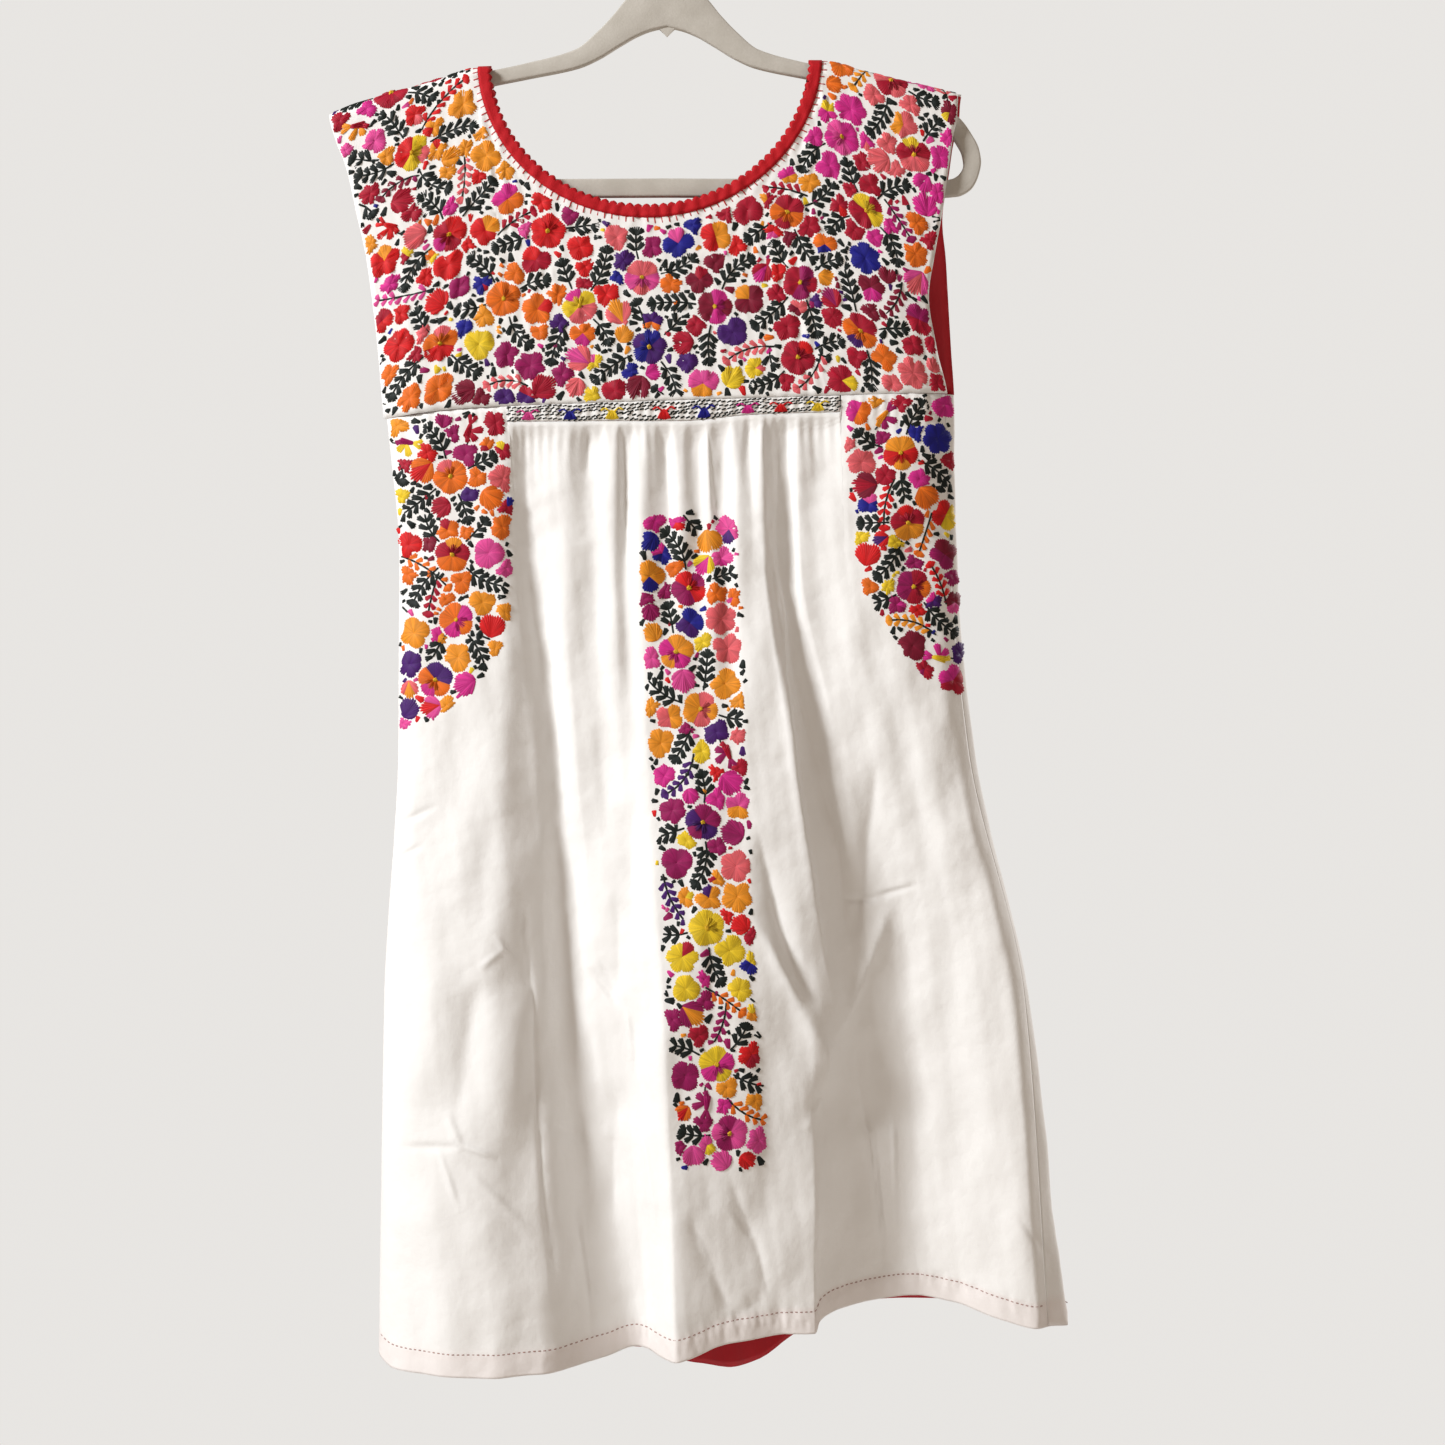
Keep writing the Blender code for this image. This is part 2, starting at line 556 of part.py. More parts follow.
def build():
    clear_scene()
    cloth = material("white cotton", (0.86, 0.84, 0.80), 0.85)
    embroidered = material("embroidered cotton", (0.72, 0.20, 0.30), 0.75)
    satin = material("red satin", (0.60, 0.01, 0.03), 0.35)
    yarn = material("red crochet cotton", (0.65, 0.02, 0.05), 0.8)
    plastic = material("grey flocked plastic", (0.62, 0.62, 0.60), 0.9)
    metal = material("chromed wire", (0.80, 0.80, 0.80), 0.25, 1.0)

    make_hanger(plastic)
    make_hook(metal)
    make_yoke("front", embroidered)
    back, outward = make_yoke("back", embroidered)
    make_lining("lining_yoke", back, outward, YOKE_WALL, satin, yoke_cells())
    make_band(cloth)
    make_skirt(cloth, satin)
    make_trim(yarn)


build()
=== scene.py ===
import bmesh
import bpy
import numpy as np
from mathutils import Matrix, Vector


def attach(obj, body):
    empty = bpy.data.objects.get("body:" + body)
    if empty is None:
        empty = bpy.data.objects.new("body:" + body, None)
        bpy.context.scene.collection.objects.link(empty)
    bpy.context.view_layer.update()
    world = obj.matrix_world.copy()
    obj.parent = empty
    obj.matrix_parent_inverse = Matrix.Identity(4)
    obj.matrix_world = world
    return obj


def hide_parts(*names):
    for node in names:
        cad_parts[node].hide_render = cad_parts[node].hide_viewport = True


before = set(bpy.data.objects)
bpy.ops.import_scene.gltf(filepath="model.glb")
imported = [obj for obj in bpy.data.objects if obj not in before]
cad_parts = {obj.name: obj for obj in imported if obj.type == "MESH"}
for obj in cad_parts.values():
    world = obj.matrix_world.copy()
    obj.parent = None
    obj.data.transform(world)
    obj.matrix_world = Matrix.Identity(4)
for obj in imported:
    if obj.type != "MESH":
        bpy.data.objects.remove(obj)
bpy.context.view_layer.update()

# Hanger
# The dress hangs on a flat plastic hanger, moulded in one piece and flocked in pale grey, so that it looks
# velvety. Its edges are rounded, and a small lug is left under its crown. All sizes are in millimetres.

MM = 0.001
HANGER_THICK = 6.0
HANGER_ROUND = 1.6
HANGER_STEPS = 7
HANGER = np.array([
    # outer x, outer z, inner x, inner z
    (0.0, -73.0, 0.0, -108.0),
    (16.0, -77.0, 11.0, -110.5),
    (29.0, -88.5, 21.0, -114.5),
    (38.0, -99.5, 34.0, -122.0),
    (50.0, -112.0, 48.0, -130.5),
    (65.0, -124.0, 63.0, -137.0),
    (103.0, -134.5, 101.0, -145.0),
    (128.0, -139.9, 125.5, -150.0),
    (150.0, -145.6, 147.0, -156.0),
    (187.0, -158.5, 182.0, -168.8),
    (208.0, -173.0, 199.0, -182.0),
    (216.5, -184.5, 205.5, -191.0),
    (221.5, -194.5, 209.5, -199.0),
    (223.0, -204.0, 210.5, -206.0),
    (221.0, -214.0, 207.5, -212.5),
    (216.0, -223.0, 202.0, -216.0),
    (206.0, -228.0, 196.0, -216.8),
    (180.0, -229.5, 178.0, -216.8),
    (90.0, -229.0, 90.0, -216.0),
    (0.0, -228.6, 0.0, -215.5),
])


def smooth_slopes(points, knots):
    """Slopes for a curve that never overshoots: the harmonic mean of both sides' steps, or none at a peak."""
    step = np.diff(points, axis=0) / np.diff(knots, axis=0)
    before, after = step[:-1], step[1:]
    total = np.where(before * after > 0, before + after, 1.0)
    middle = np.where(before * after > 0, 2 * before * after / total, 0.0)
    return np.concatenate([step[:1], middle, step[-1:]])


def smooth_between(points, knots, piece, share):
    """The cubic through two neighbours with their slopes, at a share (0 to 1) of the way between them."""
    slopes = smooth_slopes(points, knots)
    width = np.diff(knots, axis=0)[piece]
    share = share.reshape(-1, *[1] * (points.ndim - 1))
    start = 2 * share**3 - 3 * share**2 + 1
    lean_start = share**3 - 2 * share**2 + share
    lean_end = share**3 - share**2
    return (
        start * points[piece]
        + (1 - start) * points[piece + 1]
        + width * (lean_start * slopes[piece] + lean_end * slopes[piece + 1])
    )


def even_steps(counts):
    """For counts[i] even steps from point i to the next one: the point before each step, and its share."""
    return np.repeat(np.arange(len(counts)), counts), np.concatenate([np.arange(n) / n for n in counts])


def grid_faces(rows, columns, closed=False):
    """The four-sided faces of a grid of points. With closed set, its last column meets its first one."""
    number = np.arange(rows * columns).reshape(rows, columns)
    if closed:
        number = np.concatenate([number, number[:, :1]], axis=1)
    corners = (number[:-1, :-1], number[1:, :-1], number[1:, 1:], number[:-1, 1:])
    return np.stack(corners, axis=-1).reshape(-1, 4)


def put_mesh(name, points, faces, finish, flat=None, crisp=60, weld=False):
    """Adds a piece to the dress from its points, its faces and the place of each face's corners on its UV
    map. With weld set, points that lie together become one, which closes a shape at its poles."""
    mesh = bpy.data.meshes.new(name)
    mesh.vertices.add(len(points))
    mesh.vertices.foreach_set("co", (points * MM).astype(np.float32).ravel())
    mesh.loops.add(faces.size)
    mesh.loops.foreach_set("vertex_index", faces.astype(np.int32).ravel())
    mesh.polygons.add(len(faces))
    mesh.polygons.foreach_set("loop_start", np.arange(len(faces), dtype=np.int32) * faces.shape[1])
    if flat is not None:
        mesh.uv_layers.new(name="cloth").data.foreach_set("uv", (flat * MM).astype(np.float32).ravel())
    mesh.update(calc_edges=True)
    mesh.validate()
    if weld:
        shape = bmesh.new()
        shape.from_mesh(mesh)
        bmesh.ops.remove_doubles(shape, verts=shape.verts, dist=1e-6)
        shape.to_mesh(mesh)
        shape.free()
    mesh.shade_smooth()
    mesh.set_sharp_from_angle(angle=np.radians(crisp))
    mesh.materials.append(finish)
    piece = bpy.data.objects.new(name, mesh)
    bpy.context.scene.collection.objects.link(piece)
    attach(piece, "root")
    return piece


class Shade:
    """A value in a material. Sums and products on it add Math nodes, and node() adds any other kind."""

    def __init__(self, tree, socket=None):
        self.tree, self.socket = tree, socket

    def node(self, kind, settings=(), sockets=(), out=0):
        """Adds a node: first its settings, then the numbers, colours or links of its sockets."""
        made = self.tree.nodes.new("ShaderNode" + kind)
        for name, value in dict(settings).items():
            if name == "stops":
                made.color_ramp.elements.remove(made.color_ramp.elements[1])
                for i, (place, colour) in enumerate(value):
                    stop = made.color_ramp.elements[0] if i == 0 else made.color_ramp.elements.new(place)
                    stop.position, stop.color = place, (*colour, 1.0)
            else:
                setattr(made, name, value)
        for name, value in dict(sockets).items():
            if isinstance(value, Shade):
                self.tree.links.new(value.socket, made.inputs[name])
            else:
                made.inputs[name].default_value = value
        return Shade(self.tree, made.outputs[out])

    def maths(self, operation, first, second):
        return self.node("Math", {"operation": operation}, {0: first, 1: second})

    def __add__(self, other):
        return self.maths("ADD", self, other)

    def __sub__(self, other):
        return self.maths("SUBTRACT", self, other)

    def __rsub__(self, other):
        return self.maths("SUBTRACT", other, self)

    def __mul__(self, other):
        return self.maths("MULTIPLY", self, other)

    __radd__ = __add__
    __rmul__ = __mul__

    def mix(self, low, high):
        """A colour between two others, by this value."""
        colours = {name: (*c, 1.0) if isinstance(c, tuple) else c for name, c in ((6, low), (7, high))}
        return self.node("Mix", {"data_type": "RGBA"}, {0: self, **colours}, out=2)

    def noise(self, place, size, detail=2.0, roughness=0.5):
        """Soft noise whose lumps are about `size` millimetres across."""
        sockets = {"Vector": place, "Scale": 1 / (size * MM), "Detail": detail, "Roughness": roughness}
        return self.node("TexNoise", {"noise_dimensions": "3D"}, sockets)

    def lines(self, place, size, across="X"):
        """Straight ribs `size` millimetres apart."""
        settings = {"wave_type": "BANDS", "bands_direction": across, "wave_profile": "SIN"}
        # The Wave node repeats once in every pi / 10 of its scaled distance
        return self.node("TexWave", settings, {"Vector": place, "Scale": np.pi / 10 / (size * MM)}, out=1)

    def bump(self, height, distance, strength=1.0):
        """A relief whose full height is `distance` millimetres."""
        return self.node("Bump", {}, {"Height": height, "Distance": distance * MM, "Strength": strength})


class Finish:
    """A material of one shader, whose sockets are set to numbers and colours, or to shades."""

    def __init__(self, name, **sockets):
        self.material = bpy.data.materials.new(name)
        self.material.use_nodes = True
        self.shader = self.material.node_tree.nodes["Principled BSDF"]
        self.shade = Shade(self.material.node_tree)
        self.set(**sockets)

    def set(self, **sockets):
        for name, value in sockets.items():
            socket = self.shader.inputs[name.replace("_", " ")]
            if isinstance(value, Shade):
                self.material.node_tree.links.new(value.socket, socket)
            else:
                socket.default_value = (*value, 1.0) if isinstance(value, tuple) else value


def unit(vectors):
    """The vectors, each scaled to a length of 1."""
    return vectors / np.linalg.norm(vectors, axis=-1, keepdims=True)


def length_along(line):
    """The length of a line of points from its start to each of them, or of many such lines side by side."""
    step = np.linalg.norm(np.diff(line, axis=0), axis=-1)
    return np.concatenate([np.zeros_like(step[:1]), step.cumsum(axis=0)])


def hanger_loop():
    """The hanger's outer and inner outline: the half in the table as smooth curves, and its mirror image."""
    steps = even_steps(np.full(len(HANGER) - 1, HANGER_STEPS))
    half = smooth_between(HANGER, length_along(HANGER[:, :2])[:, None], *steps)
    loop = np.concatenate([half, HANGER[-1:], half[:0:-1] * [-1, 1, -1, 1]])
    return loop[:, :2], loop[:, 2:]


def hanger_points():
    """A band round the loop. Its section is a flat bar with quarter-round corners: at each corner the
    point moves in by round - round * cos(turn) and out by round * sin(turn)."""
    outer, inner = hanger_loop()
    across = unit(inner - outer)
    turn = np.linspace(0, np.pi / 2, 4)
    back = HANGER_THICK / 2 - HANGER_ROUND
    turn = turn[::-1]
    quarter = np.stack([HANGER_ROUND * (1 - np.sin(turn)), back + HANGER_ROUND * np.cos(turn)], axis=-1)
    # From the outer edge over the front face to the inner edge, then back behind
    rings = []
    for edge, way, side in ((outer, 1, -1), (inner, -1, -1), (inner, -1, 1), (outer, 1, 1)):
        order = -way * side
        rings += [(edge + way * across * move, side * y) for move, y in quarter[::order]]
    return np.stack([np.column_stack([line[:, 0], np.full(len(line), y), line[:, 1]]) for line, y in rings])


flock = Finish("pale grey flocking", Roughness=0.95, Sheen_Weight=0.25, Sheen_Roughness=0.5)
place = flock.shade.node("TexCoord", out=3)
nap = flock.shade.noise(place, 14, detail=4)
speck = flock.shade.noise(place, 1.6, detail=3, roughness=0.7)
tone = nap.node("ValToRGB", {"stops": [(0.3, (0.52, 0.49, 0.44)), (0.7, (0.65, 0.62, 0.57))]}, {0: nap})
flock.set(Base_Color=(0.6 * speck + 0.2).mix((0.43, 0.40, 0.35), tone))
flock.set(Normal=flock.shade.bump(speck, 0.25, 0.7))

points = hanger_points()
rings, around = points.shape[:2]
faces = grid_faces(rings, around, closed=True)
bridge = np.arange(around)
seam = np.stack([bridge + (rings - 1) * around, bridge, np.roll(bridge, -1),
                 np.roll(bridge, -1) + (rings - 1) * around], axis=-1)
hanger = put_mesh("hanger", points.reshape(-1, 3), np.concatenate([faces, seam])[:, ::-1], flock.material)
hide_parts("hanger_frame")

# Lug under the crown
LUG = [(-7.5, -107.0), (0.0, -114.5), (7.5, -107.0)]
LUG_HALF_THICK = 1.6
lug = np.array([(x, y, z) for y in (-LUG_HALF_THICK, LUG_HALF_THICK) for x, z in LUG])
lug_faces = np.array([(0, 1, 2), (5, 4, 3), (0, 3, 4), (0, 4, 1), (1, 4, 5), (1, 5, 2), (2, 5, 3), (2, 3, 0)])
put_mesh("hanger_lug", lug, lug_faces, flock.material, crisp=30)

# Hook
# A bent steel wire, chromed and moulded into the hanger's crown. The inner top of its arc is the origin,
# where it hangs on a rod, nail or peg.

WIRE = 3.5
HOOK_INNER = 18.0
HOOK_SIDES = 14
HOOK_STEPS = 70
HOOK_START, HOOK_END = -55, 205  # degrees round the hook
HOOK_STEM = np.array([
    # x,   z
    (0.0, -73.4),
    (0.0, -62.0),
    (0.0, -51.0),
    (1.8, -44.3),
    (5.8, -39.2),
])


def tube(path, radius, sides):
    """A tube along a path on the hanger's plane: circles square to it, closed by a point at both ends."""
    ahead = unit(np.gradient(path, axis=0))
    side = np.cross(ahead, (0.0, 1.0, 0.0))
    top = np.cross(side, ahead)
    angle = np.arange(sides)[:, None] / sides * 2 * np.pi
    body = path[:, None] + (np.cos(angle) * side[:, None] + np.sin(angle) * top[:, None]) * radius
    ends = [np.broadcast_to(path[i], (1, sides, 3)) for i in (0, -1)]
    points = np.concatenate([ends[0], body, ends[1]])
    return points, grid_faces(len(points), sides, closed=True)


angle = np.linspace(np.radians(HOOK_START), np.radians(HOOK_END), HOOK_STEPS)
radius = HOOK_INNER + WIRE / 2
arc = np.column_stack([radius * np.cos(angle), radius * np.sin(angle) - HOOK_INNER])
path = np.concatenate([HOOK_STEM, arc])
path = np.column_stack([path[:, 0], np.zeros(len(path)), path[:, 1]])
points, faces = tube(path, WIRE / 2, HOOK_SIDES)
chrome = Finish("chromed wire", Base_Color=(0.78, 0.78, 0.78), Metallic=1.0)
place = chrome.shade.node("TexCoord", out=3)
chrome.set(Roughness=0.14 + 0.22 * chrome.shade.noise(place, 6, detail=5))
hook = put_mesh("hook_wire", points.reshape(-1, 3), faces, chrome.material, weld=True)
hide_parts("hanger_hook")

# Yoke
# White cotton, cut in one piece for the front, the back and the cap sleeves, and folded over the shoulders.
# It hangs over the hanger's arms and falls almost straight. Its stitching draws it into small puckers.

ROLL = 9.0  # radius of the fold over the shoulder
YOKE_FALL = 235.0
FRONT_SWELL = 6.0  # how much further out the front is at its lower seam
BACK_SWELL = 1.0
EDGE_REACH = 30.0  # from an armhole's edge to where the cloth begins to draw back
EDGE_SHARE = 0.3  # of the depth, left at that edge
GAP = 0.3  # between neighbouring pieces
NECK_MIDDLE = -12.0
NECK_HALF_WIDTH = 122.0
NECK_FRONT = 117.0
NECK_BACK = 119.0
ROW_CROWD = 1.25  # over 1, rows lie closer near the neck
CLOTH = 1.0
PUCKER = 0.5
PUCKER_FADE = 12.0  # below the fold
RIDGE = np.array([
    # x,     z
    (-239.0, -170.0),
    (-225.0, -164.0),
    (-203.0, -157.5),
    (-161.0, -144.8),
    (-134.0, -137.0),
    (110.0, -132.5),
    (138.0, -139.0),
    (165.0, -146.0),
    (190.0, -151.5),
    (206.0, -155.5),
])
ARMHOLES = np.array([
    # z,     left front, left back, right front, right back
    (-150.0, -239.0, -237.0, 206.0, 209.0),
    (-172.0, -237.0, -234.0, 205.0, 208.0),
    (-191.0, -232.0, -229.0, 201.5, 203.5),
    (-209.0, -225.0, -222.0, 199.0, 201.0),
    (-244.0, -217.0, -214.0, 194.0, 196.0),
    (-272.0, -211.0, -208.0, 189.0, 198.5),
    (-300.0, -207.0, -204.0, 185.0, 200.0),
    (-336.0, -203.0, -200.0, 190.5, 202.0),
    (-367.0, -200.5, -197.0, 198.0, 204.0),
    (-390.0, -198.5, -195.0, 201.0, 205.0),
])
SEAM = np.array([
    # x,     z
    (-200.0, -387.0),
    (-138.0, -380.5),
    (-38.0, -376.3),
    (106.0, -372.0),
    (206.0, -368.7),
])


def smooth_table(at, knots, values):
    """Reads a table's smooth curve at any number of places."""
    order = slice(None) if knots[-1] > knots[0] else slice(None, None, -1)
    knots, values = knots[order], values[order]
    at = np.clip(at, knots[0], knots[-1])
    piece = np.clip(np.searchsorted(knots, at, side="right") - 1, 0, len(knots) - 2)
    share = (at - knots[piece]) / (knots[piece + 1] - knots[piece])
    return smooth_between(values, knots, piece.ravel(), share.ravel()).reshape(np.shape(at))


def ridge_height(x):
    return smooth_table(x, RIDGE[:, 0], RIDGE[:, 1])


def seam_height(x):
    return smooth_table(x, SEAM[:, 0], SEAM[:, 1])


def yoke_height(x, run):
    """The height of a place that lies this far below the ridge along the cloth. The turn over the ridge, a
    quarter circle, takes up pi / 2 - 1 radii more cloth than it falls."""
    return ridge_height(x) - np.maximum(run - ROLL * (np.pi / 2 - 1), 0)


def ripples(x, y, seed, shortest, longest, lean, count=14):
    """Small uneven waves, up to about 1 high: the sum of cosines of random lengths, most of them across x."""
    rng = np.random.default_rng(seed)
    length = rng.uniform(shortest, longest, count)
    angle = rng.normal(0, lean, count)
    phase = rng.uniform(0, 2 * np.pi, count)
    total = 0
    for long, turn, start in zip(length, angle, phase):
        total = total + np.cos((x * np.cos(turn) + y * np.sin(turn)) * 2 * np.pi / long + start)
    return total / np.sqrt(count)


def armhole_sides(z, front):
    """The x of the cloth's left and right edges at a height."""
    read = [smooth_table(z, ARMHOLES[:, 0], ARMHOLES[:, i]) for i in (1, 2, 3, 4)]
    return np.where(front, read[0], read[1]), np.where(front, read[2], read[3])


def yoke_place(flat):
    """Points and outward directions on the yoke, for places (x, run) on the flat cloth.

    The run is how far a place lies from the shoulder ridge along the cloth, negative behind. The cloth turns
    over the ridge on the radius ROLL, then falls straight and swells, and draws back towards its armholes.
    """
    x, run = flat[..., 0], flat[..., 1]
    front = run >= 0
    turn = np.clip(np.abs(run) / ROLL, 0, np.pi / 2)
    straight = np.maximum(np.abs(run) - ROLL * np.pi / 2, 0)
    fall = ROLL * (1 - np.cos(turn)) + straight
    out = ROLL * np.sin(turn) + np.where(front, FRONT_SWELL, BACK_SWELL) * straight / YOKE_FALL
    z = ridge_height(x) - fall
    left, right = armhole_sides(z, front)
    near = np.clip(np.minimum(x - left, right - x) / EDGE_REACH, 0, 1)
    low = np.clip((fall - ROLL) / YOKE_FALL, 0, 1) ** 1.5
    out = out * (1 - (1 - EDGE_SHARE) * low * (1 - np.sin(near * np.pi / 2)))
    forward = np.where(front, -1.0, 1.0)
    outward = np.stack([np.zeros_like(x), forward * np.sin(turn), np.cos(turn)], axis=-1)
    points = np.stack([x, forward * out, z], axis=-1)
    pucker = PUCKER * ripples(x, run, 3, 6, 17, 0.35) * np.clip(straight / PUCKER_FADE, 0, 1)
    return points + outward * pucker[..., None], outward


def yoke_grid(front, columns=150, neck_columns=100, rows=60):
    """Flat places all over one side of the yoke, in rows from the shoulder and the neck to the lower seam."""
    sign = 1 if front else -1
    edges = (ARMHOLES[0, 1], ARMHOLES[0, 3]) if front else (ARMHOLES[0, 2], ARMHOLES[0, 4])
    wide = NECK_HALF_WIDTH + GAP / 2
    deep = (NECK_FRONT if front else NECK_BACK) + GAP / 2
    sides = (columns - neck_columns) // 2
    angle = np.linspace(np.pi, 0, neck_columns + 1)
    start_x = np.concatenate([np.linspace(edges[0], NECK_MIDDLE - wide, sides + 1)[:-1],
                              NECK_MIDDLE + wide * np.cos(angle),
                              np.linspace(NECK_MIDDLE + wide, edges[1], sides + 1)[1:]])
    start_run = np.concatenate([np.full(sides, GAP / 2), np.maximum(deep * np.sin(angle), GAP / 2),
                                np.full(sides, GAP / 2)])
    left, right = armhole_sides(yoke_height(start_x, start_run), front)
    across = (start_x - left) / (right - left)
    # The armholes' curves are met in four rounds, at the lower seam and then on every row
    end_x = start_x
    for _ in range(4):
        left, right = armhole_sides(seam_height(end_x), front)
        end_x = left + across * (right - left)
    end_run = ridge_height(end_x) - seam_height(end_x) - GAP / 2 + ROLL * (np.pi / 2 - 1)

    share = np.linspace(0, 1, rows + 1)[:, None] ** ROW_CROWD
    run = start_run + share * (end_run - start_run)
    x = start_x + np.zeros_like(run)
    for _ in range(4):
        left, right = armhole_sides(yoke_height(x, run), front)
        x = left + across * (right - left)
    return np.stack([x, sign * run], axis=-1)


def cloth_piece(name, points, flat, thick, finish, closed=False, flip=False):
    """A sheet of cloth from a grid of points on its outer side, thickened inwards. A closed one meets
    itself, and its flat map has the first column again at its end. Flip turns the faces round."""
    rows, columns = points.shape[:2]
    faces = corners = grid_faces(rows, columns, closed)
    if closed:
        flat = np.concatenate([flat, flat[:, -1:] * 2 - flat[:, -2:-1]], axis=1)
        corners = grid_faces(rows, columns + 1)
    if flip:
        faces, corners = faces[:, ::-1], corners[:, ::-1]
    piece = put_mesh(name, points.reshape(-1, 3), faces, finish, flat.reshape(-1, 2)[corners])
    solid = piece.modifiers.new("thickness", "SOLIDIFY")
    solid.thickness, solid.offset = thick * MM, -1.0
    return piece


# Where the pressed creases begin and are whole, before the hanger's plane: behind it there are none
PRESSED_FROM, PRESSED_FULL = 4.0, 9.0


def pressed_in(shade, creases):
    """Fine straight creases on the front: each is height * exp(-(distance from its line / half width)^2),
    and fades out towards both ends of the line as 4 * share * (1 - share)."""
    place = shade.node("TexCoord", out=3)

    def sum_along(weights):
        return place.node("VectorMath", {"operation": "DOT_PRODUCT"}, {0: place, 1: tuple(weights)}, out=1)

    marks = 0.0
    for width, height, start, end in creases:
        ahead, start = np.subtract(end, start), np.array(start)
        share_by = ahead / (ahead @ ahead)
        aside_by = np.array([ahead[1], -ahead[0]]) / np.hypot(*ahead) / width
        share = sum_along((share_by[0] / MM, 0, share_by[1] / MM)) - float(share_by @ start)
        aside = sum_along((aside_by[0] / MM, 0, aside_by[1] / MM)) - float(aside_by @ start)
        fade = place.maths("MAXIMUM" if height > 0 else "MINIMUM", 4 * height * share * (1 - share), 0)
        marks = place.maths("POWER", float(np.exp(-1)), aside * aside) * fade + marks
    ramp = PRESSED_FULL - PRESSED_FROM
    before = sum_along((0, -1 / (ramp * MM), 0)) - PRESSED_FROM / ramp
    return marks * place.node("Clamp", {}, {"Value": before})


def cotton_finish(name, colour, weave=0.55, dents=0.0, creases=()):
    """Plain-woven cotton: fine crossing ribs, slubs along and across, soft mottling, a slight sheen,
    pressed creases, and soft dents from wear of two sizes, `dents` millimetres deep."""
    cotton = Finish(name, Roughness=0.88, Sheen_Weight=0.12, Sheen_Roughness=0.45)
    place = cotton.shade.node("UVMap", {"uv_map": "cloth"})
    along = place.node("Mapping", sockets={"Vector": place, "Scale": (1.0, 0.12, 1.0)})
    over = place.node("Mapping", sockets={"Vector": place, "Scale": (0.12, 1.0, 1.0)})
    ribs = cotton.shade.lines(place, weave, "X") + cotton.shade.lines(place, weave, "Y")
    slubs = cotton.shade.noise(along, 1.1, detail=3) + cotton.shade.noise(over, 1.1, detail=3)
    cloud = cotton.shade.noise(place, 40, detail=3)
    soft = tuple(c * 0.955 for c in colour)
    cotton.set(Base_Color=(0.7 * cloud + 0.25 * slubs - 0.2).mix(soft, colour))
    drawn = place.node("Mapping", sockets={"Vector": place, "Scale": (1.0, 0.5, 1.0)})
    worn = 1.4 * cotton.shade.noise(drawn, 30, detail=2) + 0.6 * cotton.shade.noise(place, 11, detail=2)
    relief = 0.022 * ribs + 0.05 * slubs + dents * worn
    if creases:
        relief = relief + pressed_in(cotton.shade, creases)
    cotton.set(Normal=cotton.shade.bump(relief, 1.0))
    return cotton


COTTON_WHITE = (0.90, 0.892, 0.882)
cotton = cotton_finish("white cotton", COTTON_WHITE, dents=0.5)
for side, front in (("back", False), ("front", True)):
    flat = yoke_grid(front)
    points, _ = yoke_place(flat)
    name = "yoke_" + side + "_cloth"
    cloth_piece(name, points, flat, CLOTH, cotton.material, flip=not front)
    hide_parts("yoke_" + side)


# Lining of the back yoke
# Thin red satin inside the back, seen past the armhole on the right.
# It is sewn in at the armholes and the neck.

YOKE_WALL = 1.6
LINING = 0.7
SATIN_RED = (0.56, 0.006, 0.02)

satin = Finish("red satin", Roughness=0.4, Anisotropic=0.4, Specular_IOR_Level=0.35)
place = satin.shade.node("UVMap", {"uv_map": "cloth"})
stretched = place.node("Mapping", sockets={"Vector": place, "Scale": (1.0, 0.08, 1.0)})
drawn = satin.shade.noise(stretched, 9, detail=3)
# One stretched noise streaks both the colour and the wrinkle relief: the colour is painted darker where the
# wrinkles sink, as painted shade.
satin.set(Base_Color=drawn.mix((0.44, 0.004, 0.014), SATIN_RED))
satin.set(Normal=satin.shade.bump(0.85 * drawn + 0.15 * satin.shade.lines(place, 0.4, "X"), 0.5, 0.6))

flat = yoke_grid(False, columns=90, neck_columns=60, rows=36)
points, outward = yoke_place(flat)
yoke_lining = cloth_piece("yoke_lining", points - outward * (YOKE_WALL + GAP), flat, LINING, satin.material,
                          flip=True)
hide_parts("lining_yoke")

# Smocked band
# The front skirt's upper edge, drawn up into tiny pleats between the yoke and the skirt. Rows of black
# stitches hold the pleats in wavy lines, with a small coloured motif every few pleats.

BAND_LOW = np.array([
    # x,     z
    (-112.0, -390.0),
    (-38.0, -389.5),
    (10.0, -389.5),
    (60.0, -385.0),
    (126.0, -383.0),
])
BAND_LEFT = -111.0
BAND_RIGHT = 122.0
PLEATS = 32
PLEAT_COLUMNS = 8
PLEAT_RISE = 0.8
BAND_OUT = ROLL + FRONT_SWELL * 0.95


def band_low(x):
    return smooth_table(x, BAND_LOW[:, 0], BAND_LOW[:, 1])


def band_place(flat):
    """Points and outward directions on the band, for places (x, share of the way down). Each pleat rises
    as sine squared across the band, a little less at its top and bottom."""
    x, share = flat[..., 0], flat[..., 1]
    top = seam_height(x) - GAP / 2
    z = top + share * (band_low(x) + GAP / 2 - top)
    pleat = np.sin((x - BAND_LEFT) / (BAND_RIGHT - BAND_LEFT) * PLEATS * np.pi) ** 2
    rise = PLEAT_RISE * pleat * (0.55 + 0.45 * np.sin(np.clip(share, 0, 1) * np.pi))
    points = np.stack([x, -BAND_OUT - rise, z], axis=-1)
    return points, np.broadcast_to((0.0, -1.0, 0.0), points.shape)


across = np.linspace(BAND_LEFT, BAND_RIGHT, PLEATS * PLEAT_COLUMNS + 1)
points, _ = band_place(np.stack(np.meshgrid(across, np.linspace(0, 1, 9)), axis=-1))
band = cloth_piece("smocked_band", points, points[..., [0, 2]], CLOTH, cotton.material)
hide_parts("smock_band")

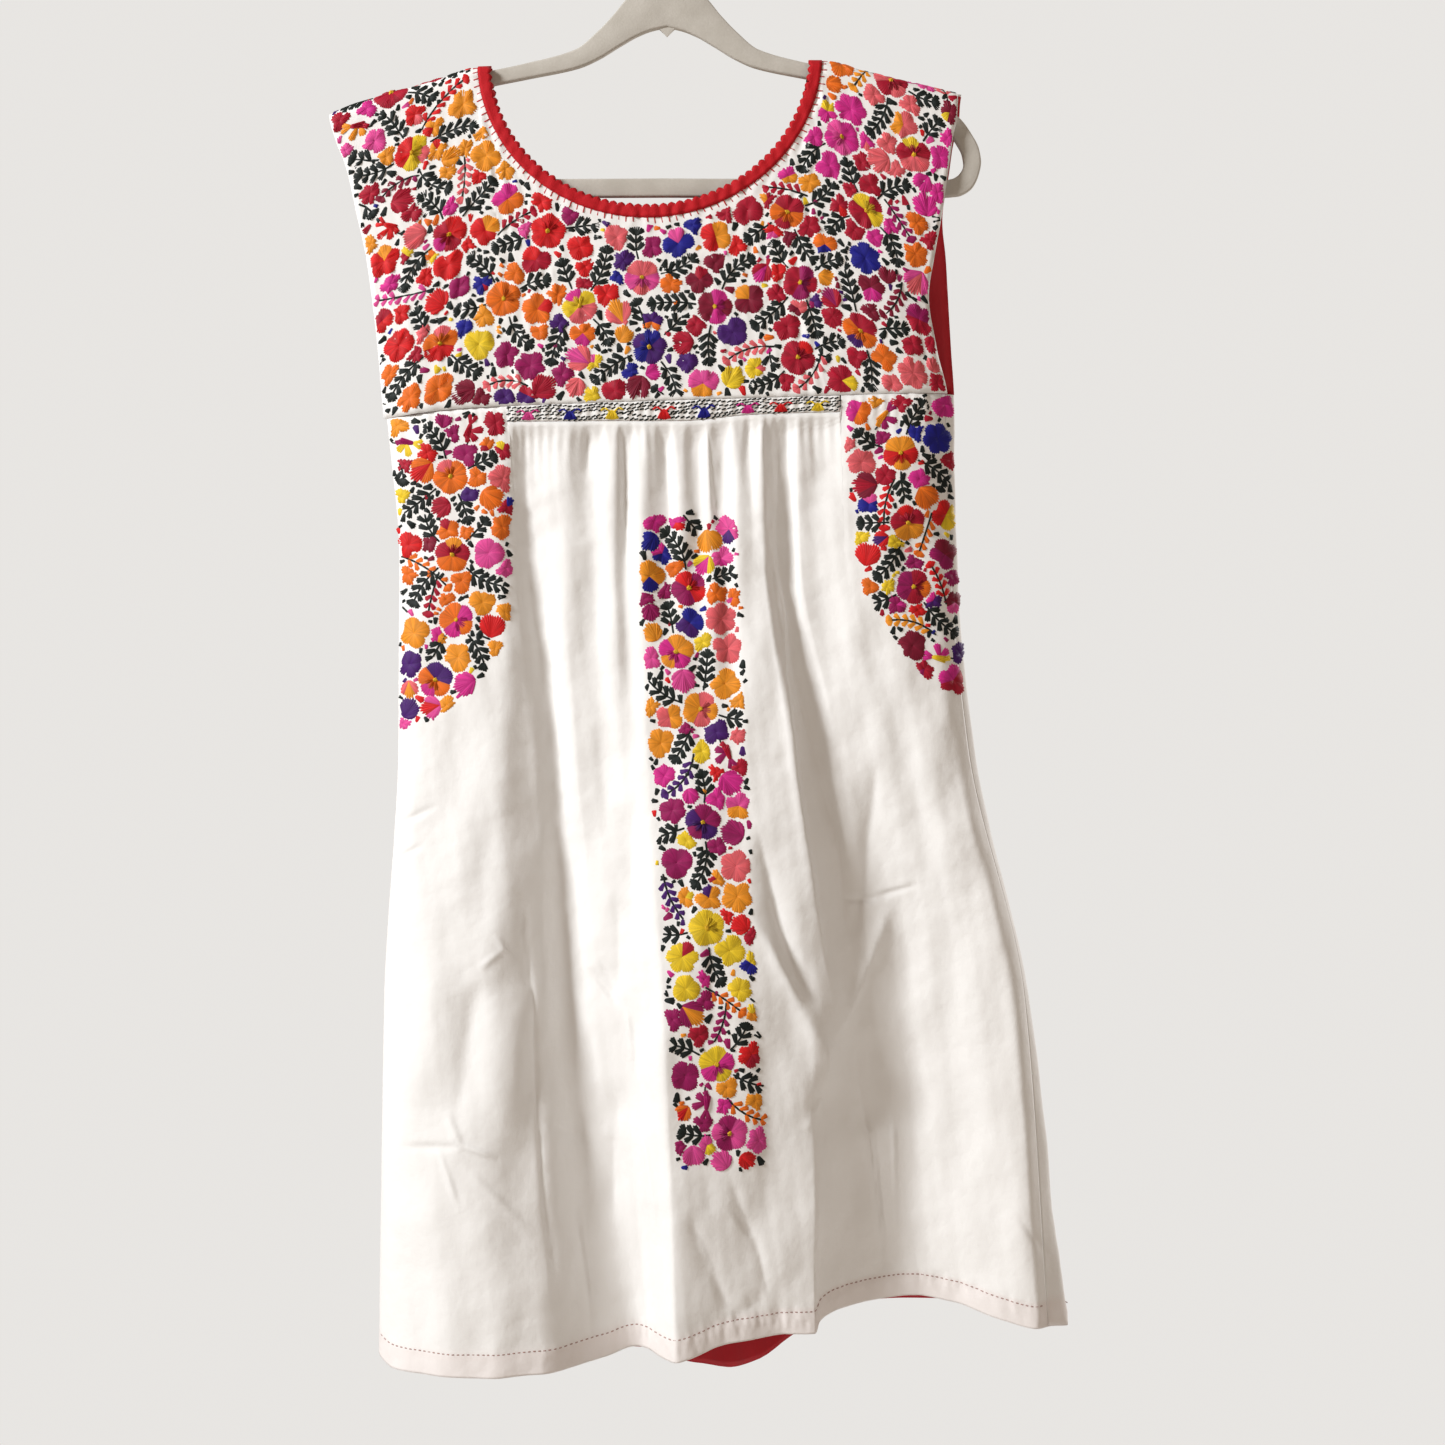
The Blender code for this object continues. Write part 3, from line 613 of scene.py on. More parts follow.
# Skirt
# White cotton in two panels, front and back, sewn together at the sides and gathered into the band and the
# yoke. It falls in soft folds to a hem that is turned up and stitched.

LEVELS = (-487.0, -621.0, -793.0)
ROW_COUNTS = (27, 27, 40, 44)
HEM_ROW_CROWD = 1.35  # over 1, rows lie closer near the hem
FRONT_FINE = 6  # columns for each one in the table
BACK_FINE = 4
CREASE = 1.7  # the height of a rise of 1 in the crease tables
GATHER_PITCH = 7.3
GATHER_RISE = 0.8
GATHER_REACH = 16.0
WAVES = ((0.9, 5, 30, 90, 0.35), (0.5, 12, 40, 100, 1.6), (0.2, 6, 9, 26, 1.5))  # height, then for ripples()
WAVE_FADE = 30.0
HEM_HEIGHT = 15.0
HEM_RISE = 0.45
GROOVE_DEEP = 0.4
GROOVE_WIDE = 1.5
SEAM_BLEND = 12.0  # from a seam, where the creases begin
BAND_BLEND = 8.0  # below the band, where the cloth leaves it
BAND_SIDE_BLEND = 10.0
# The folds are lines from the top to the hem, read at the top, at LEVELS and at the hem. Their ring runs from
# the left seam round the front to the right seam, then back behind. A depth is a distance in front of y = 0.
FOLDS = [
    # line, x at the five heights, depth at the five heights, z at the hem, columns to the next line
    ("left_seam", -197, -188, -187, -196, -198, 2, 3, 3, 7, 12, -1035, 1),
    ("left_edge", -198, -189, -189, -197, -199, 5, 8, 13, 24, 34, -1037, 2),
    ("left_face", -189, -179, -177, -184, -186, 9, 15, 25, 43, 58, -1042, 2),
    ("left_mid", -159, -152, -150, -154, -151, 14, 19, 31, 57, 77, -1042, 2),
    ("left_lobe", -126, -119, -115, -121, -115, 14, 20, 33, 58, 84, -1042, 1),
    ("band_left", -115, -108, -97, -93, -87, 14, 16, 26, 46, 77, -1041, 1),
    ("lobe_slope", -111.4, -104, -91, -85, -78, 13, 13, 23, 40, 74, -1041, 2),
    ("valley_left", -101, -96, -78, -67, -41, 8, 8, 13, 22, 46, -1038, 4),
    ("gather_a", -71, -70, -62, -46, -19, 14, 16, 20, 31, 36, -1034, 2),
    ("gather_a_in", -53, -52, -47, -36, -11, 8, 13, 20, 36, 38, -1035, 2),
    ("gather_b", -38, -37, -31, -20, -5, 14, 18, 26, 44, 48, -1036, 2),
    ("gather_b_in", -27, -29, -24, -12, 1, 9, 15, 28, 50, 57, -1037, 2),
    ("ridge_left", -15, -17, -12, 0, 9, 14, 20, 33, 58, 68, -1036, 2),
    ("panel_a", -1, -1, 3, 14, 24, 8, 16, 34, 58, 63, -1032, 2),
    ("panel_b", 9, 11, 15, 24, 36, 13, 19, 35, 58, 59, -1028, 2),
    ("panel_c", 21, 23, 26, 34, 48, 8, 16, 34, 57, 55, -1026, 2),
    ("panel_d", 29, 32, 36, 43, 59, 13, 19, 35, 56, 52, -1025, 2),
    ("panel_e", 38, 41, 47, 53, 70, 8, 16, 34, 55, 49, -1024, 2),
    ("panel_f", 49, 51, 58, 64, 83, 14, 20, 35, 53, 46, -1023, 2),
    ("panel_g", 58, 60, 72, 82, 94, 10, 19, 35, 49, 46, -1023, 2),
    ("ridge_right", 66, 68, 86, 101, 103, 15, 20, 34, 44, 45, -1023, 2),
    ("tuck", 74, 75, 94, 114, 107, 10, 14, 25, 34, 35, -1017, 2),
    ("valley_right", 83, 86, 109, 127, 119, 6, 8, 14, 23, 23, -1012, 2),
    ("gather_c", 92, 95, 122, 144, 143, 12, 13, 16, 15, 12, -1009, 2),
    ("valley_low", 104, 107, 139, 167, 177, 9, 12, 17, 9, 4, -1007, 3),
    ("gather_d", 122.4, 125, 158, 191, 200, 13, 15, 20, 16, 11, -1010, 1),
    ("band_right", 126, 130, 164, 198, 207, 14, 16, 20, 18, 14, -1011, 2),
    ("right_mid", 145, 153, 181, 222, 236, 15, 18, 23, 27, 30, -1018, 3),
    ("right_face", 177, 182, 200, 240, 257, 13, 15, 20, 30, 37, -1022, 2),
    ("right_seam", 197, 201, 213, 251, 266, 4, 6, 11, 21, 31, -1022, 2),
    ("right_edge", 204, 206, 218, 255, 281, -1, 0, 3, 11, 18, -1024, 2),
    ("right_back", 198, 204, 215, 253, 277, -6, -6, -7, -4, 2, -1024, 2),
    ("back_a", 173, 177, 188, 224, 245, -9, -11, -13, -14, -13, -1025, 2),
    ("back_b", 141, 145, 156, 184, 201, -10, -11, -11, -8, -4, -1011, 1),
    ("back_c", 116, 118, 125, 152, 170, -10, -12, -14, -12, -9, -1012, 2),
    ("back_d", 91, 93, 98, 122, 139, -10, -11, -12, -15, -15, -1016, 1),
    ("back_e", 70, 71, 76, 95, 113, -10, -12, -14, -12, -9, -1022, 2),
    ("back_f", 48, 50, 53, 70, 87, -10, -11, -11, -8, 0, -1037, 1),
    ("back_g", 28, 30, 33, 50, 66, -10, -12, -13, -8, 2, -1052, 2),
    ("back_h", 8, 9, 12, 29, 44, -10, -11, -11, -11, -8, -1061, 1),
    ("back_i", -20, -18, -13, 3, 20, -10, -12, -14, -15, -15, -1060, 2),
    ("back_j", -55, -54, -48, -37, -23, -10, -11, -11, -9, -4, -1045, 1),
    ("back_k", -91, -90, -88, -88, -84, -10, -12, -14, -15, -15, -1052, 2),
    ("back_l", -127, -125, -126, -134, -137, -10, -11, -12, -9, -5, -1057, 1),
    ("back_m", -166, -161, -163, -173, -175, -9, -10, -13, -14, -14, -1056, 2),
    ("left_back", -191, -186, -185, -193, -196, -5, -5, -6, -6, -5, -1045, 2),
]
FRONT_CREASES = [
    # half width, rise (a trough is negative), places (x, z) along the crease
    (4, 2.0, [(69, -460), (76, -494), (81, -528), (82, -563), (85, -596), (90, -640), (94, -669), (102, -725),
              (110, -767), (116, -801)]),
    (7, -2.5, [(109, -642), (120, -679), (125, -713), (127, -752)]),
    (6, 3.0, [(62, -738), (80, -771), (91, -793), (102, -816), (110, -829), (112, -862)]),
    (5, -2.0, [(71, -719), (88, -766), (107, -800)]),
    (6, -2.0, [(63, -675), (76, -725), (93, -782)]),
    (5, 2.0, [(159, -727), (142, -769), (128, -802), (115, -820)]),
    (7, -2.0, [(149, -628), (142, -679), (140, -722), (127, -760)]),
    (22, -2.5, [(145, -820), (145, -892)]),
    (2.0, -1.0, [(-108, -675), (-101, -720), (-91, -794), (-88, -847), (-83, -925), (-74, -989),
                 (-69, -1021)]),
    (2.0, -0.9, [(-63, -938), (-55, -973), (-50, -1003), (-48, -1032)]),
    (2.0, -1.0, [(134, -833), (142, -883), (150, -940), (156, -994)]),
    (2.0, -0.8, [(58, -632), (86, -630)]),
    (9, -2.0, [(-128, -778), (-142, -865), (-138, -886)]),
    (10, 1.5, [(-102, -779), (-102, -895)]),
    (10, -1.5, [(-25, -660), (-25, -720)]),
    (8, -1.5, [(-34, -726), (-34, -792)]),
    (3, -1.0, [(-46, -769), (-35, -792)]),
    (6, -1.5, [(-26, -810), (-20, -845), (-6, -879)]),
    (12, -1.5, [(-35, -855), (-35, -884)]),
    (6, -1.2, [(-37, -886), (-37, -946)]),
    (4, -1.2, [(16, -939), (46, -1007)]),
    (4, -1.2, [(42, -910), (65, -966), (71, -995)]),
    (4, -1.0, [(46, -1010), (69, -995)]),
    (2.5, -0.8, [(-56, -391), (-56, -430)]),
    (3, -1.0, [(-30, -391), (-29, -451), (-28, -498)]),
    (3, -1.0, [(-3, -391), (3, -471)]),
    (3, -1.0, [(29, -389), (38, -466)]),
    (3.5, -1.5, [(79, -391), (79, -468), (81, -494), (86, -528), (90, -563), (97, -596), (109, -641)]),
]
BACK_CREASES = [
    (8, -2.0, [(120, -430), (112, -560), (118, -700)]),
    (6, 1.8, [(60, -400), (66, -520), (58, -640)]),
    (9, -2.2, [(-20, -450), (-30, -600), (-18, -760), (-24, -900)]),
    (5, 1.6, [(-70, -392), (-74, -470), (-66, -560)]),
    (7, -2.0, [(-120, -520), (-132, -680), (-126, -840)]),
    (3, -0.8, [(150, -760), (190, -782)]),
    (3, -0.8, [(-150, -700), (-118, -712)]),
    (2.5, -0.7, [(90, -780), (96, -900), (104, -1010)]),
    (2.5, -0.7, [(-60, -700), (-56, -850), (-50, -1040)]),
    (10, 1.8, [(10, -640), (18, -800)]),
]
PRESSED = [
    # fine creases pressed into the cloth: half width, height (a trough is negative), both ends (x, z)
    (2.8, -1.1, (-193, -676), (-158, -659)),
    (2.5, -1.0, (-190, -698), (-167, -686)),
    (2.8, 1.0, (-128, -771), (-109, -756)),
    (2.8, 0.9, (-117, -747), (-103, -768)),
    (3.1, -1.2, (-182, -892), (-133, -889)),
    (2.5, 1.1, (-142, -887), (-113, -897)),
    (3.4, 1.2, (-149, -866), (-137, -893)),
    (2.5, 0.9, (-155, -888), (-138, -934)),
    (3.7, 1.0, (-138, -900), (-88, -952)),
    (3.4, -1.1, (-87, -870), (-48, -899)),
    (2.5, 1.0, (-27, -798), (-22, -836)),
    (3.1, -1.1, (-53, -772), (-30, -800)),
    (2.2, 0.8, (-59, -938), (-48, -1016)),
    (2.2, 0.8, (-16, -876), (-6, -948)),
    (2.8, -1.2, (122, -726), (148, -726)),
    (2.5, -1.1, (140, -727), (178, -715)),
    (3.4, 1.1, (97, -884), (108, -862)),
    (2.2, 0.8, (142, -864), (156, -996)),
    (2.2, 0.8, (158, -832), (164, -990)),
    (3.1, -1.0, (243, -941), (267, -975)),
    (3.1, 0.9, (169, -972), (177, -944)),
    (2.8, 0.8, (20, -948), (34, -982)),
    (2.8, -0.9, (44, -930), (60, -956)),
]


def skirt_top(x, depth):
    """Height of the skirt's upper edge: under the smocked band in front, else under the yoke."""
    under_band = (x > BAND_LEFT - 0.6) & (x < BAND_RIGHT + 0.6) & (depth > 0)
    return np.where(under_band, band_low(x), seam_height(x)) - GAP / 2


def skirt_ring():
    """Points all round the skirt, their outward directions, and the column of each line of the table."""
    table = np.array([line[1:] for line in FOLDS], float)
    x, depth, hem = table[:, :5], table[:, 5:10], table[:, 10]
    front_lines = [line[0] for line in FOLDS].index("right_seam")
    counts = table[:, 11].astype(int) * np.where(np.arange(len(table)) < front_lines, FRONT_FINE, BACK_FINE)
    levels = np.broadcast_to(LEVELS, (len(FOLDS), len(LEVELS)))
    z = np.column_stack([skirt_top(x[:, 0], depth[:, 0]), levels, hem])
    lines = np.stack([x, -depth, z], axis=-1)
    # The ring closes: two lines before its start and three after its end let the curve run on
    lines = np.concatenate([lines[-2:], lines, lines[:3]])
    piece, share = even_steps(counts)
    ring = smooth_between(lines, length_along(lines[..., :2])[..., None], piece + 2, share)
    ring[:, 0, 2] = skirt_top(ring[:, 0, 0], -ring[:, 0, 1])

    down = ring.transpose(1, 0, 2)
    piece, share = even_steps(ROW_COUNTS)
    share = np.where(piece == 3, 1 - (1 - share) ** HEM_ROW_CROWD, share)
    grid = np.concatenate([smooth_between(down, -down[..., 2:], piece, share), down[-1:]])
    around = np.roll(grid, -1, axis=1) - np.roll(grid, 1, axis=1)
    outward = unit(np.stack([around[..., 1], -around[..., 0], np.zeros(grid.shape[:2])], axis=-1))
    columns = dict(zip((line[0] for line in FOLDS), np.concatenate([[0], counts.cumsum()])))
    return grid, outward, columns


def crease_relief(x, z, table):
    """Ridges and troughs: each rises as rise * exp(-(distance from its line / half width)^1.25), which
    leaves a soft crease along the line, and fades out towards both ends of the line."""
    relief = np.zeros_like(x)
    for width, rise, line in table:
        line = np.array(line, float)
        ahead = np.diff(line, axis=0)
        long = np.linalg.norm(ahead, axis=-1)
        from_x, from_z = x[..., None] - line[:-1, 0], z[..., None] - line[:-1, 1]
        along = np.clip((from_x * ahead[:, 0] + from_z * ahead[:, 1]) / long**2, 0, 1)
        far = np.hypot(from_x - along * ahead[:, 0], from_z - along * ahead[:, 1])
        nearest = far.argmin(axis=-1)[..., None]
        passed = (np.concatenate([[0], long.cumsum()[:-1]]) + along * long) / long.sum()
        passed = np.take_along_axis(passed, nearest, axis=-1)[..., 0]
        far = np.take_along_axis(far, nearest, axis=-1)[..., 0]
        fade = np.clip(np.minimum(passed, 1 - passed) * 4, 0, 1)
        relief += rise * np.exp(-((far / width) ** 1.25)) * fade * (2 - fade)
    return CREASE * relief


def skirt_relief(ring, front):
    """How far the cloth stands out from its folds: creases, fine gathers that die out below the top edge,
    soft waves, and the hem, which is thicker and puckers along its stitching. Also a mark from 0 to 1 that
    shows where the hem and its groove are."""
    x, z = ring[..., 0], ring[..., 2]
    below = ring[:1, :, 2] - z
    above_hem = z - ring[-1:, :, 2]
    wander = 1.6 * ripples(x, z, 8, 60, 150, 1.5)
    gathers = np.cos(x * 2 * np.pi / GATHER_PITCH + wander)
    gathers *= np.exp(-below / GATHER_REACH) * np.clip(below / 3, 0, 1)
    waves = sum(height * ripples(x, z, *wave) for height, *wave in WAVES)
    relief = crease_relief(x, z, FRONT_CREASES if front else BACK_CREASES)
    relief += GATHER_RISE * gathers + waves * np.clip(below / WAVE_FADE, 0, 1)
    hem = np.clip((HEM_HEIGHT - above_hem) / 1.6 + 0.5, 0, 1)
    groove = np.exp(-(((above_hem - HEM_HEIGHT) / GROOVE_WIDE) ** 2))
    pull = 0.4 * ripples(x, z, 9, 5, 14, 0.3) * np.exp(-(((above_hem - HEM_HEIGHT * 0.75) / 7) ** 2))
    return relief + HEM_RISE * hem - GROOVE_DEEP * groove + pull, np.clip(0.8 * hem + 0.9 * groove, 0, 1)


ring, ring_out, ring_column = skirt_ring()
split = ring_column["right_seam"]
is_front = np.arange(ring.shape[1]) < split + 1
front_relief, hem = skirt_relief(ring, True)
back_relief, _ = skirt_relief(ring, False)
# The two panels' creases meet without a step at the seams
near_seam = np.abs(ring[..., 0, None] - ring[:, None, (0, split), 0]).min(axis=-1)
relief = np.where(is_front, front_relief, back_relief) * np.clip(near_seam / SEAM_BLEND, 0, 1)
skirt = ring + ring_out * relief[..., None]
# Under the band the gathers start flush with it, and open into the folds further down
below = ring[:1, :, 2] - ring[..., 2]
beside = np.maximum(BAND_LEFT - 1 - ring[:1, :, 0], ring[:1, :, 0] - BAND_RIGHT - 1)
under_band = is_front * np.clip(1 - beside / BAND_SIDE_BLEND, 0, 1)
skirt[..., 1] += (-BAND_OUT - skirt[..., 1]) * under_band * np.exp(-((below / BAND_BLEND) ** 2))


def closed_ring(grid):
    """A grid with its first column again at its end."""
    return np.concatenate([grid, grid[:, :1]], axis=1)


def skirt_flat(points):
    """Places on the flat cloth: the length along each row, and the height."""
    return np.stack([length_along(points.swapaxes(0, 1)).T, points[..., 2]], axis=-1)


def draw_in(points):
    """Draws a panel's first and last columns in by half a gap, away from the panel that they are sewn to."""
    points = points.copy()
    for end, beside in ((0, 1), (-1, -2)):
        points[:, end] += unit(points[:, beside] - points[:, end]) * GAP / 2
    return points


def mark_points(piece, name, values):
    """Stores a number for each of a piece's points, for its material to read."""
    layer = piece.data.attributes.new(name, "FLOAT", "POINT")
    layer.data.foreach_set("value", values.astype(np.float32).ravel())


# The hem's double cloth is painted pinker than the rest, for the red lining's light showing through it, and
# its groove pinker still, as painted shade
PINKISH = (0.80, 0.71, 0.69)
skirt_cotton = cotton_finish("white skirt cotton", COTTON_WHITE, dents=1.0, creases=PRESSED)
painted_hem_tint = skirt_cotton.shade.node("Attribute", {"attribute_name": "hem"}, out=2)
woven = Shade(painted_hem_tint.tree, skirt_cotton.shader.inputs["Base Color"].links[0].from_socket)
skirt_cotton.set(Base_Color=(0.55 * painted_hem_tint).mix(woven, PINKISH))
skirt_piece = {}
for side, columns, step in (("front", slice(0, split + 1), 1), ("back", slice(split, None), 2)):
    points = draw_in(closed_ring(skirt)[::step, columns])
    skirt_piece[side] = cloth_piece("skirt_" + side + "_cloth", points, skirt_flat(points), CLOTH,
                                    skirt_cotton.material)
    mark_points(skirt_piece[side], "hem", closed_ring(hem[..., None])[::step, columns, 0])
    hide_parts("skirt_" + side)

# Lining of the back skirt
# The same red satin, sewn in under the yoke and free at the hem, where it shows below the front. It lies
# close behind the skirt's back and follows its folds.

HEM_WALL = 2.0
CORNER_UP = 9.0
CORNER_WIDE = 16.0
CORNER_TALL = 40.0
# It gives way where the skirt's creases run in
sunk = closed_ring(np.minimum(relief, 0)[..., None]) - HEM_WALL - GAP
inside = draw_in((closed_ring(ring) + closed_ring(ring_out) * sunk)[::2, split:])
# Its lower corner at the left seam is caught up, out of sight behind the front's hem
from_seam = inside[..., 0] - inside[:, -1:, 0]
above_hem = inside[..., 2] - inside[-1:, :, 2]
caught = np.exp(-((from_seam / CORNER_WIDE) ** 2)) * np.clip(1 - above_hem / CORNER_TALL, 0, 1)
inside[..., 2] += CORNER_UP * caught
skirt_lining = cloth_piece("skirt_lining", inside, skirt_flat(inside), LINING, satin.material)
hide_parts("lining_skirt")

# Neck edging
# Red cotton yarn crocheted straight onto the neck's edge: a chain, a round of upright stitches, another
# chain, and a round of small scallops. Red ticks on the cloth are the stitches that hold it.

TRIM_WIDTH = 9.0
TRIM_SCALLOP = 1.9
SCALLOPS = 120
SCALLOP_COLUMNS = 6
TRIM_LENGTH = 750.0
CHAIN_IN = 5.9
CHAINS = ((0.5, 260), (CHAIN_IN, 250))  # how far in, stitches
CHAIN_HALF_WIDE = 0.55
POSTS = 430
POST_LEAN = 0.0011
TICKS = 150
TICK_LEAN = 0.0008
TICK_LONG = 4.0
DARK_TICKS = 0.3
YARN_RED = (0.55, 0.008, 0.018)
LEAF_GREEN = (0.004, 0.010, 0.008)


def neck_flat(along, inward):
    """Places on the flat cloth, at a share of the way round the neck (from the left neck point down the
    front) and some way in from its edge. The edge is an ellipse, and inward is square to it."""
    fine = np.linspace(0, 2 * np.pi, 2001)
    wide = NECK_HALF_WIDTH - GAP / 2

    def edge(angle):
        deep = np.where(np.sin(angle) > 0, NECK_FRONT, NECK_BACK) - GAP / 2
        return np.stack([-wide * np.cos(angle), deep * np.sin(angle)], axis=-1), deep

    length = length_along(edge(fine)[0])
    angle = np.interp(np.mod(along, 1) * length[-1], length, fine)
    place, deep = edge(angle)
    away = unit(np.stack([-np.cos(angle) / wide, np.sin(angle) / deep], axis=-1))
    return place - away * np.broadcast_to(inward, np.shape(along))[..., None] + (NECK_MIDDLE, 0)


# A thread has three steps, and one more for each of these lengths that it passes
LONGER_STEPS = (7.0, 10.0)


class Stitches:
    """Threads laid on cloth from one flat place to another, kept as rows of a table until they are sewn."""

    def __init__(self):
        self.rows = []

    def add(self, start, end, width, rise, colour):
        """Adds threads. Width and rise are in millimetres, for one thread or for each."""
        start, end = np.atleast_2d(start), np.atleast_2d(end)
        count = len(start)
        parts = [start, end, np.broadcast_to(width, count)[:, None], np.broadcast_to(rise, count)[:, None],
                 np.broadcast_to(colour, (count, 3))]
        self.rows.append(np.concatenate(parts, axis=1))

    def sew(self, name, place, finish, slot, keep=None):
        """Makes the threads a piece. Each is a ridge on the cloth whose cross-sections stand at its two
        ends, a tenth further in, and evenly between; a long thread has more of them. At a share s of the
        length, its width and height follow (4 * s * (1 - s))^0.25, so its ends are short and round."""
        table = np.concatenate(self.rows)
        if keep is not None:
            table = table[keep((table[:, 0:2] + table[:, 2:4]) / 2)]
        long = np.linalg.norm(table[:, 2:4] - table[:, 0:2], axis=1)
        steps = np.searchsorted(LONGER_STEPS, long) + 3
        points, faces, flat_map, colours, count = [], [], [], [], 0
        for number in np.unique(steps):
            part = self.ridges(table[steps == number], number, place)
            points.append(part[0])
            faces.append(part[1] + count)
            flat_map.append(part[2])
            colours.append(np.repeat(table[steps == number, 6:9], (number + 1) * 3, axis=0))
            count += len(part[0])
        points, faces, flat_map, colours = map(np.concatenate, (points, faces, flat_map, colours))
        piece = put_mesh(name, points, faces, finish, flat_map[faces], crisp=90)
        layer = piece.data.attributes.new("thread_colour", "FLOAT_COLOR", "POINT")
        colours = np.column_stack([colours, np.ones(len(colours))])
        layer.data.foreach_set("color", colours.astype(np.float32).ravel())
        return piece

    def ridges(self, table, steps, place):
        """Points, faces and flat places of threads with this number of steps along each."""
        start, end = table[:, 0:2], table[:, 2:4]
        share = np.concatenate([[0], np.linspace(0.1, 0.9, steps - 1), [1]])[None, :, None]
        bulge = (4 * share * (1 - share)) ** 0.25
        ahead = end - start
        side = np.stack([-ahead[:, 1], ahead[:, 0]], axis=-1)
        side /= np.linalg.norm(side, axis=-1, keepdims=True) + 1e-9
        reach = side[:, None] * table[:, None, 4:5] / 2 * (0.45 + 0.55 * bulge)
        middle = start[:, None] + ahead[:, None] * share
        points, outward = place(np.stack([middle - reach, middle, middle + reach], axis=2))
        edge = (bulge * 0.35 - 0.2)[..., 0]
        lift = np.stack([edge, (bulge * 1.2 - 0.2)[..., 0], edge], axis=-1) * table[:, 5, None, None]
        points = points + outward * lift[..., None]
        number = np.arange(len(table))[:, None] * (steps + 1) * 3
        faces = (number[..., None] + grid_faces(steps + 1, 3)[None]).reshape(-1, 4)
        # A thread is turned to face out, whichever way its start and end lie
        corner = points.reshape(-1, 3)[faces]
        turned = np.cross(corner[:, 1] - corner[:, 0], corner[:, 3] - corner[:, 0])
        facing = outward.reshape(-1, 3)[faces[:, 0]]
        back_to_front = (turned * facing).sum(axis=-1) < 0
        faces[back_to_front] = faces[back_to_front][:, ::-1]
        # On the thread's own map, x is across it and y along it, and neighbours start at different places
        across = np.broadcast_to([-0.5, 0, 0.5], (len(table), steps + 1, 3)) * table[:, None, 4:5]
        long = np.linalg.norm(ahead, axis=-1)[:, None, None]
        down = share * long + np.arange(len(table))[:, None, None] % 97
        flat_map = np.stack([across, np.broadcast_to(down, across.shape)], axis=-1)
        return points.reshape(-1, 3), faces, flat_map.reshape(-1, 2)


yarn = Finish("red crochet yarn", Roughness=0.75, Sheen_Weight=0.04, Specular_IOR_Level=0.25)
place = yarn.shade.node("TexCoord", out=3)
fuzz = yarn.shade.noise(place, 0.9, detail=3)
yarn.set(Base_Color=fuzz.mix((0.34, 0.003, 0.008), (0.60, 0.006, 0.014)))
yarn.set(Normal=yarn.shade.bump(fuzz, 0.35, 0.9))

columns = SCALLOPS * SCALLOP_COLUMNS
along = np.arange(columns) / columns
tip = TRIM_WIDTH - TRIM_SCALLOP * (1 - np.abs(np.sin(np.pi * SCALLOPS * along)))
inward = np.linspace(0, 1, 5)[:, None] * tip
points, _ = yoke_place(neck_flat(np.broadcast_to(along, inward.shape), inward))
ribbon = np.stack([np.broadcast_to(along * TRIM_LENGTH, inward.shape), inward], axis=-1)
edging = cloth_piece("neck_edging", points, ribbon, CLOTH, yarn.material, closed=True)
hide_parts("neck_trim")

rng = np.random.default_rng(21)
loops = Stitches()
# Upright stitches, that lean to the left and the right by turns
posts = np.arange(POSTS) / POSTS
feet = neck_flat(posts, 0.6 + rng.uniform(-0.3, 0.3, POSTS))
heads = neck_flat(posts + POST_LEAN * np.tile([1, -1], POSTS // 2), CHAIN_IN + rng.uniform(-0.3, 0.3, POSTS))
loops.add(feet, heads, 1.75, 1.0, YARN_RED)
for inward, count in CHAINS:
    chain = np.arange(count) / count
    low, high = inward - CHAIN_HALF_WIDE, inward + CHAIN_HALF_WIDE
    loops.add(neck_flat(chain, low), neck_flat(chain + 1.15 / count, high), 1.5, 1.15, YARN_RED)
# Scallops, each with a small knot at its tip
picots = np.arange(SCALLOPS)
bow = np.linspace(0.08, 0.92, 7)
arch = neck_flat((picots[:, None] + bow) / SCALLOPS, TRIM_WIDTH - TRIM_SCALLOP * (1.05 - np.sin(np.pi * bow)))
loops.add(arch[:, :-1].reshape(-1, 2), arch[:, 1:].reshape(-1, 2), 1.5, 1.1, YARN_RED)
loops.add(neck_flat((picots + 0.5) / SCALLOPS, TRIM_WIDTH - 1.3),
          neck_flat((picots + 0.55) / SCALLOPS, TRIM_WIDTH + 0.6), 1.7, 1.3, YARN_RED)
# Ticks on the cloth
ticks = np.arange(TICKS) / TICKS
tick_colour = np.where(rng.random((TICKS, 1)) < DARK_TICKS, LEAF_GREEN, YARN_RED)
tick_ends = neck_flat(ticks + TICK_LEAN, rng.uniform(-0.8, 0.8, TICKS) - TICK_LONG)
loops.add(neck_flat(ticks, 0.3), tick_ends, 1.0, 0.6, tick_colour)
edging_loops = loops.sew("neck_edging_loops", yoke_place, yarn.material, "red_crochet")

# Embroidery
# Flowers, leaf sprigs, petal sprays and small birds in cotton thread, worked by hand in satin stitch: every
# petal and leaf is a fan of raised threads laid side by side. The layout is this file's own, set out from a
# seed: large pansies first, then sprigs round them, then smaller and smaller flowers wherever there is room.

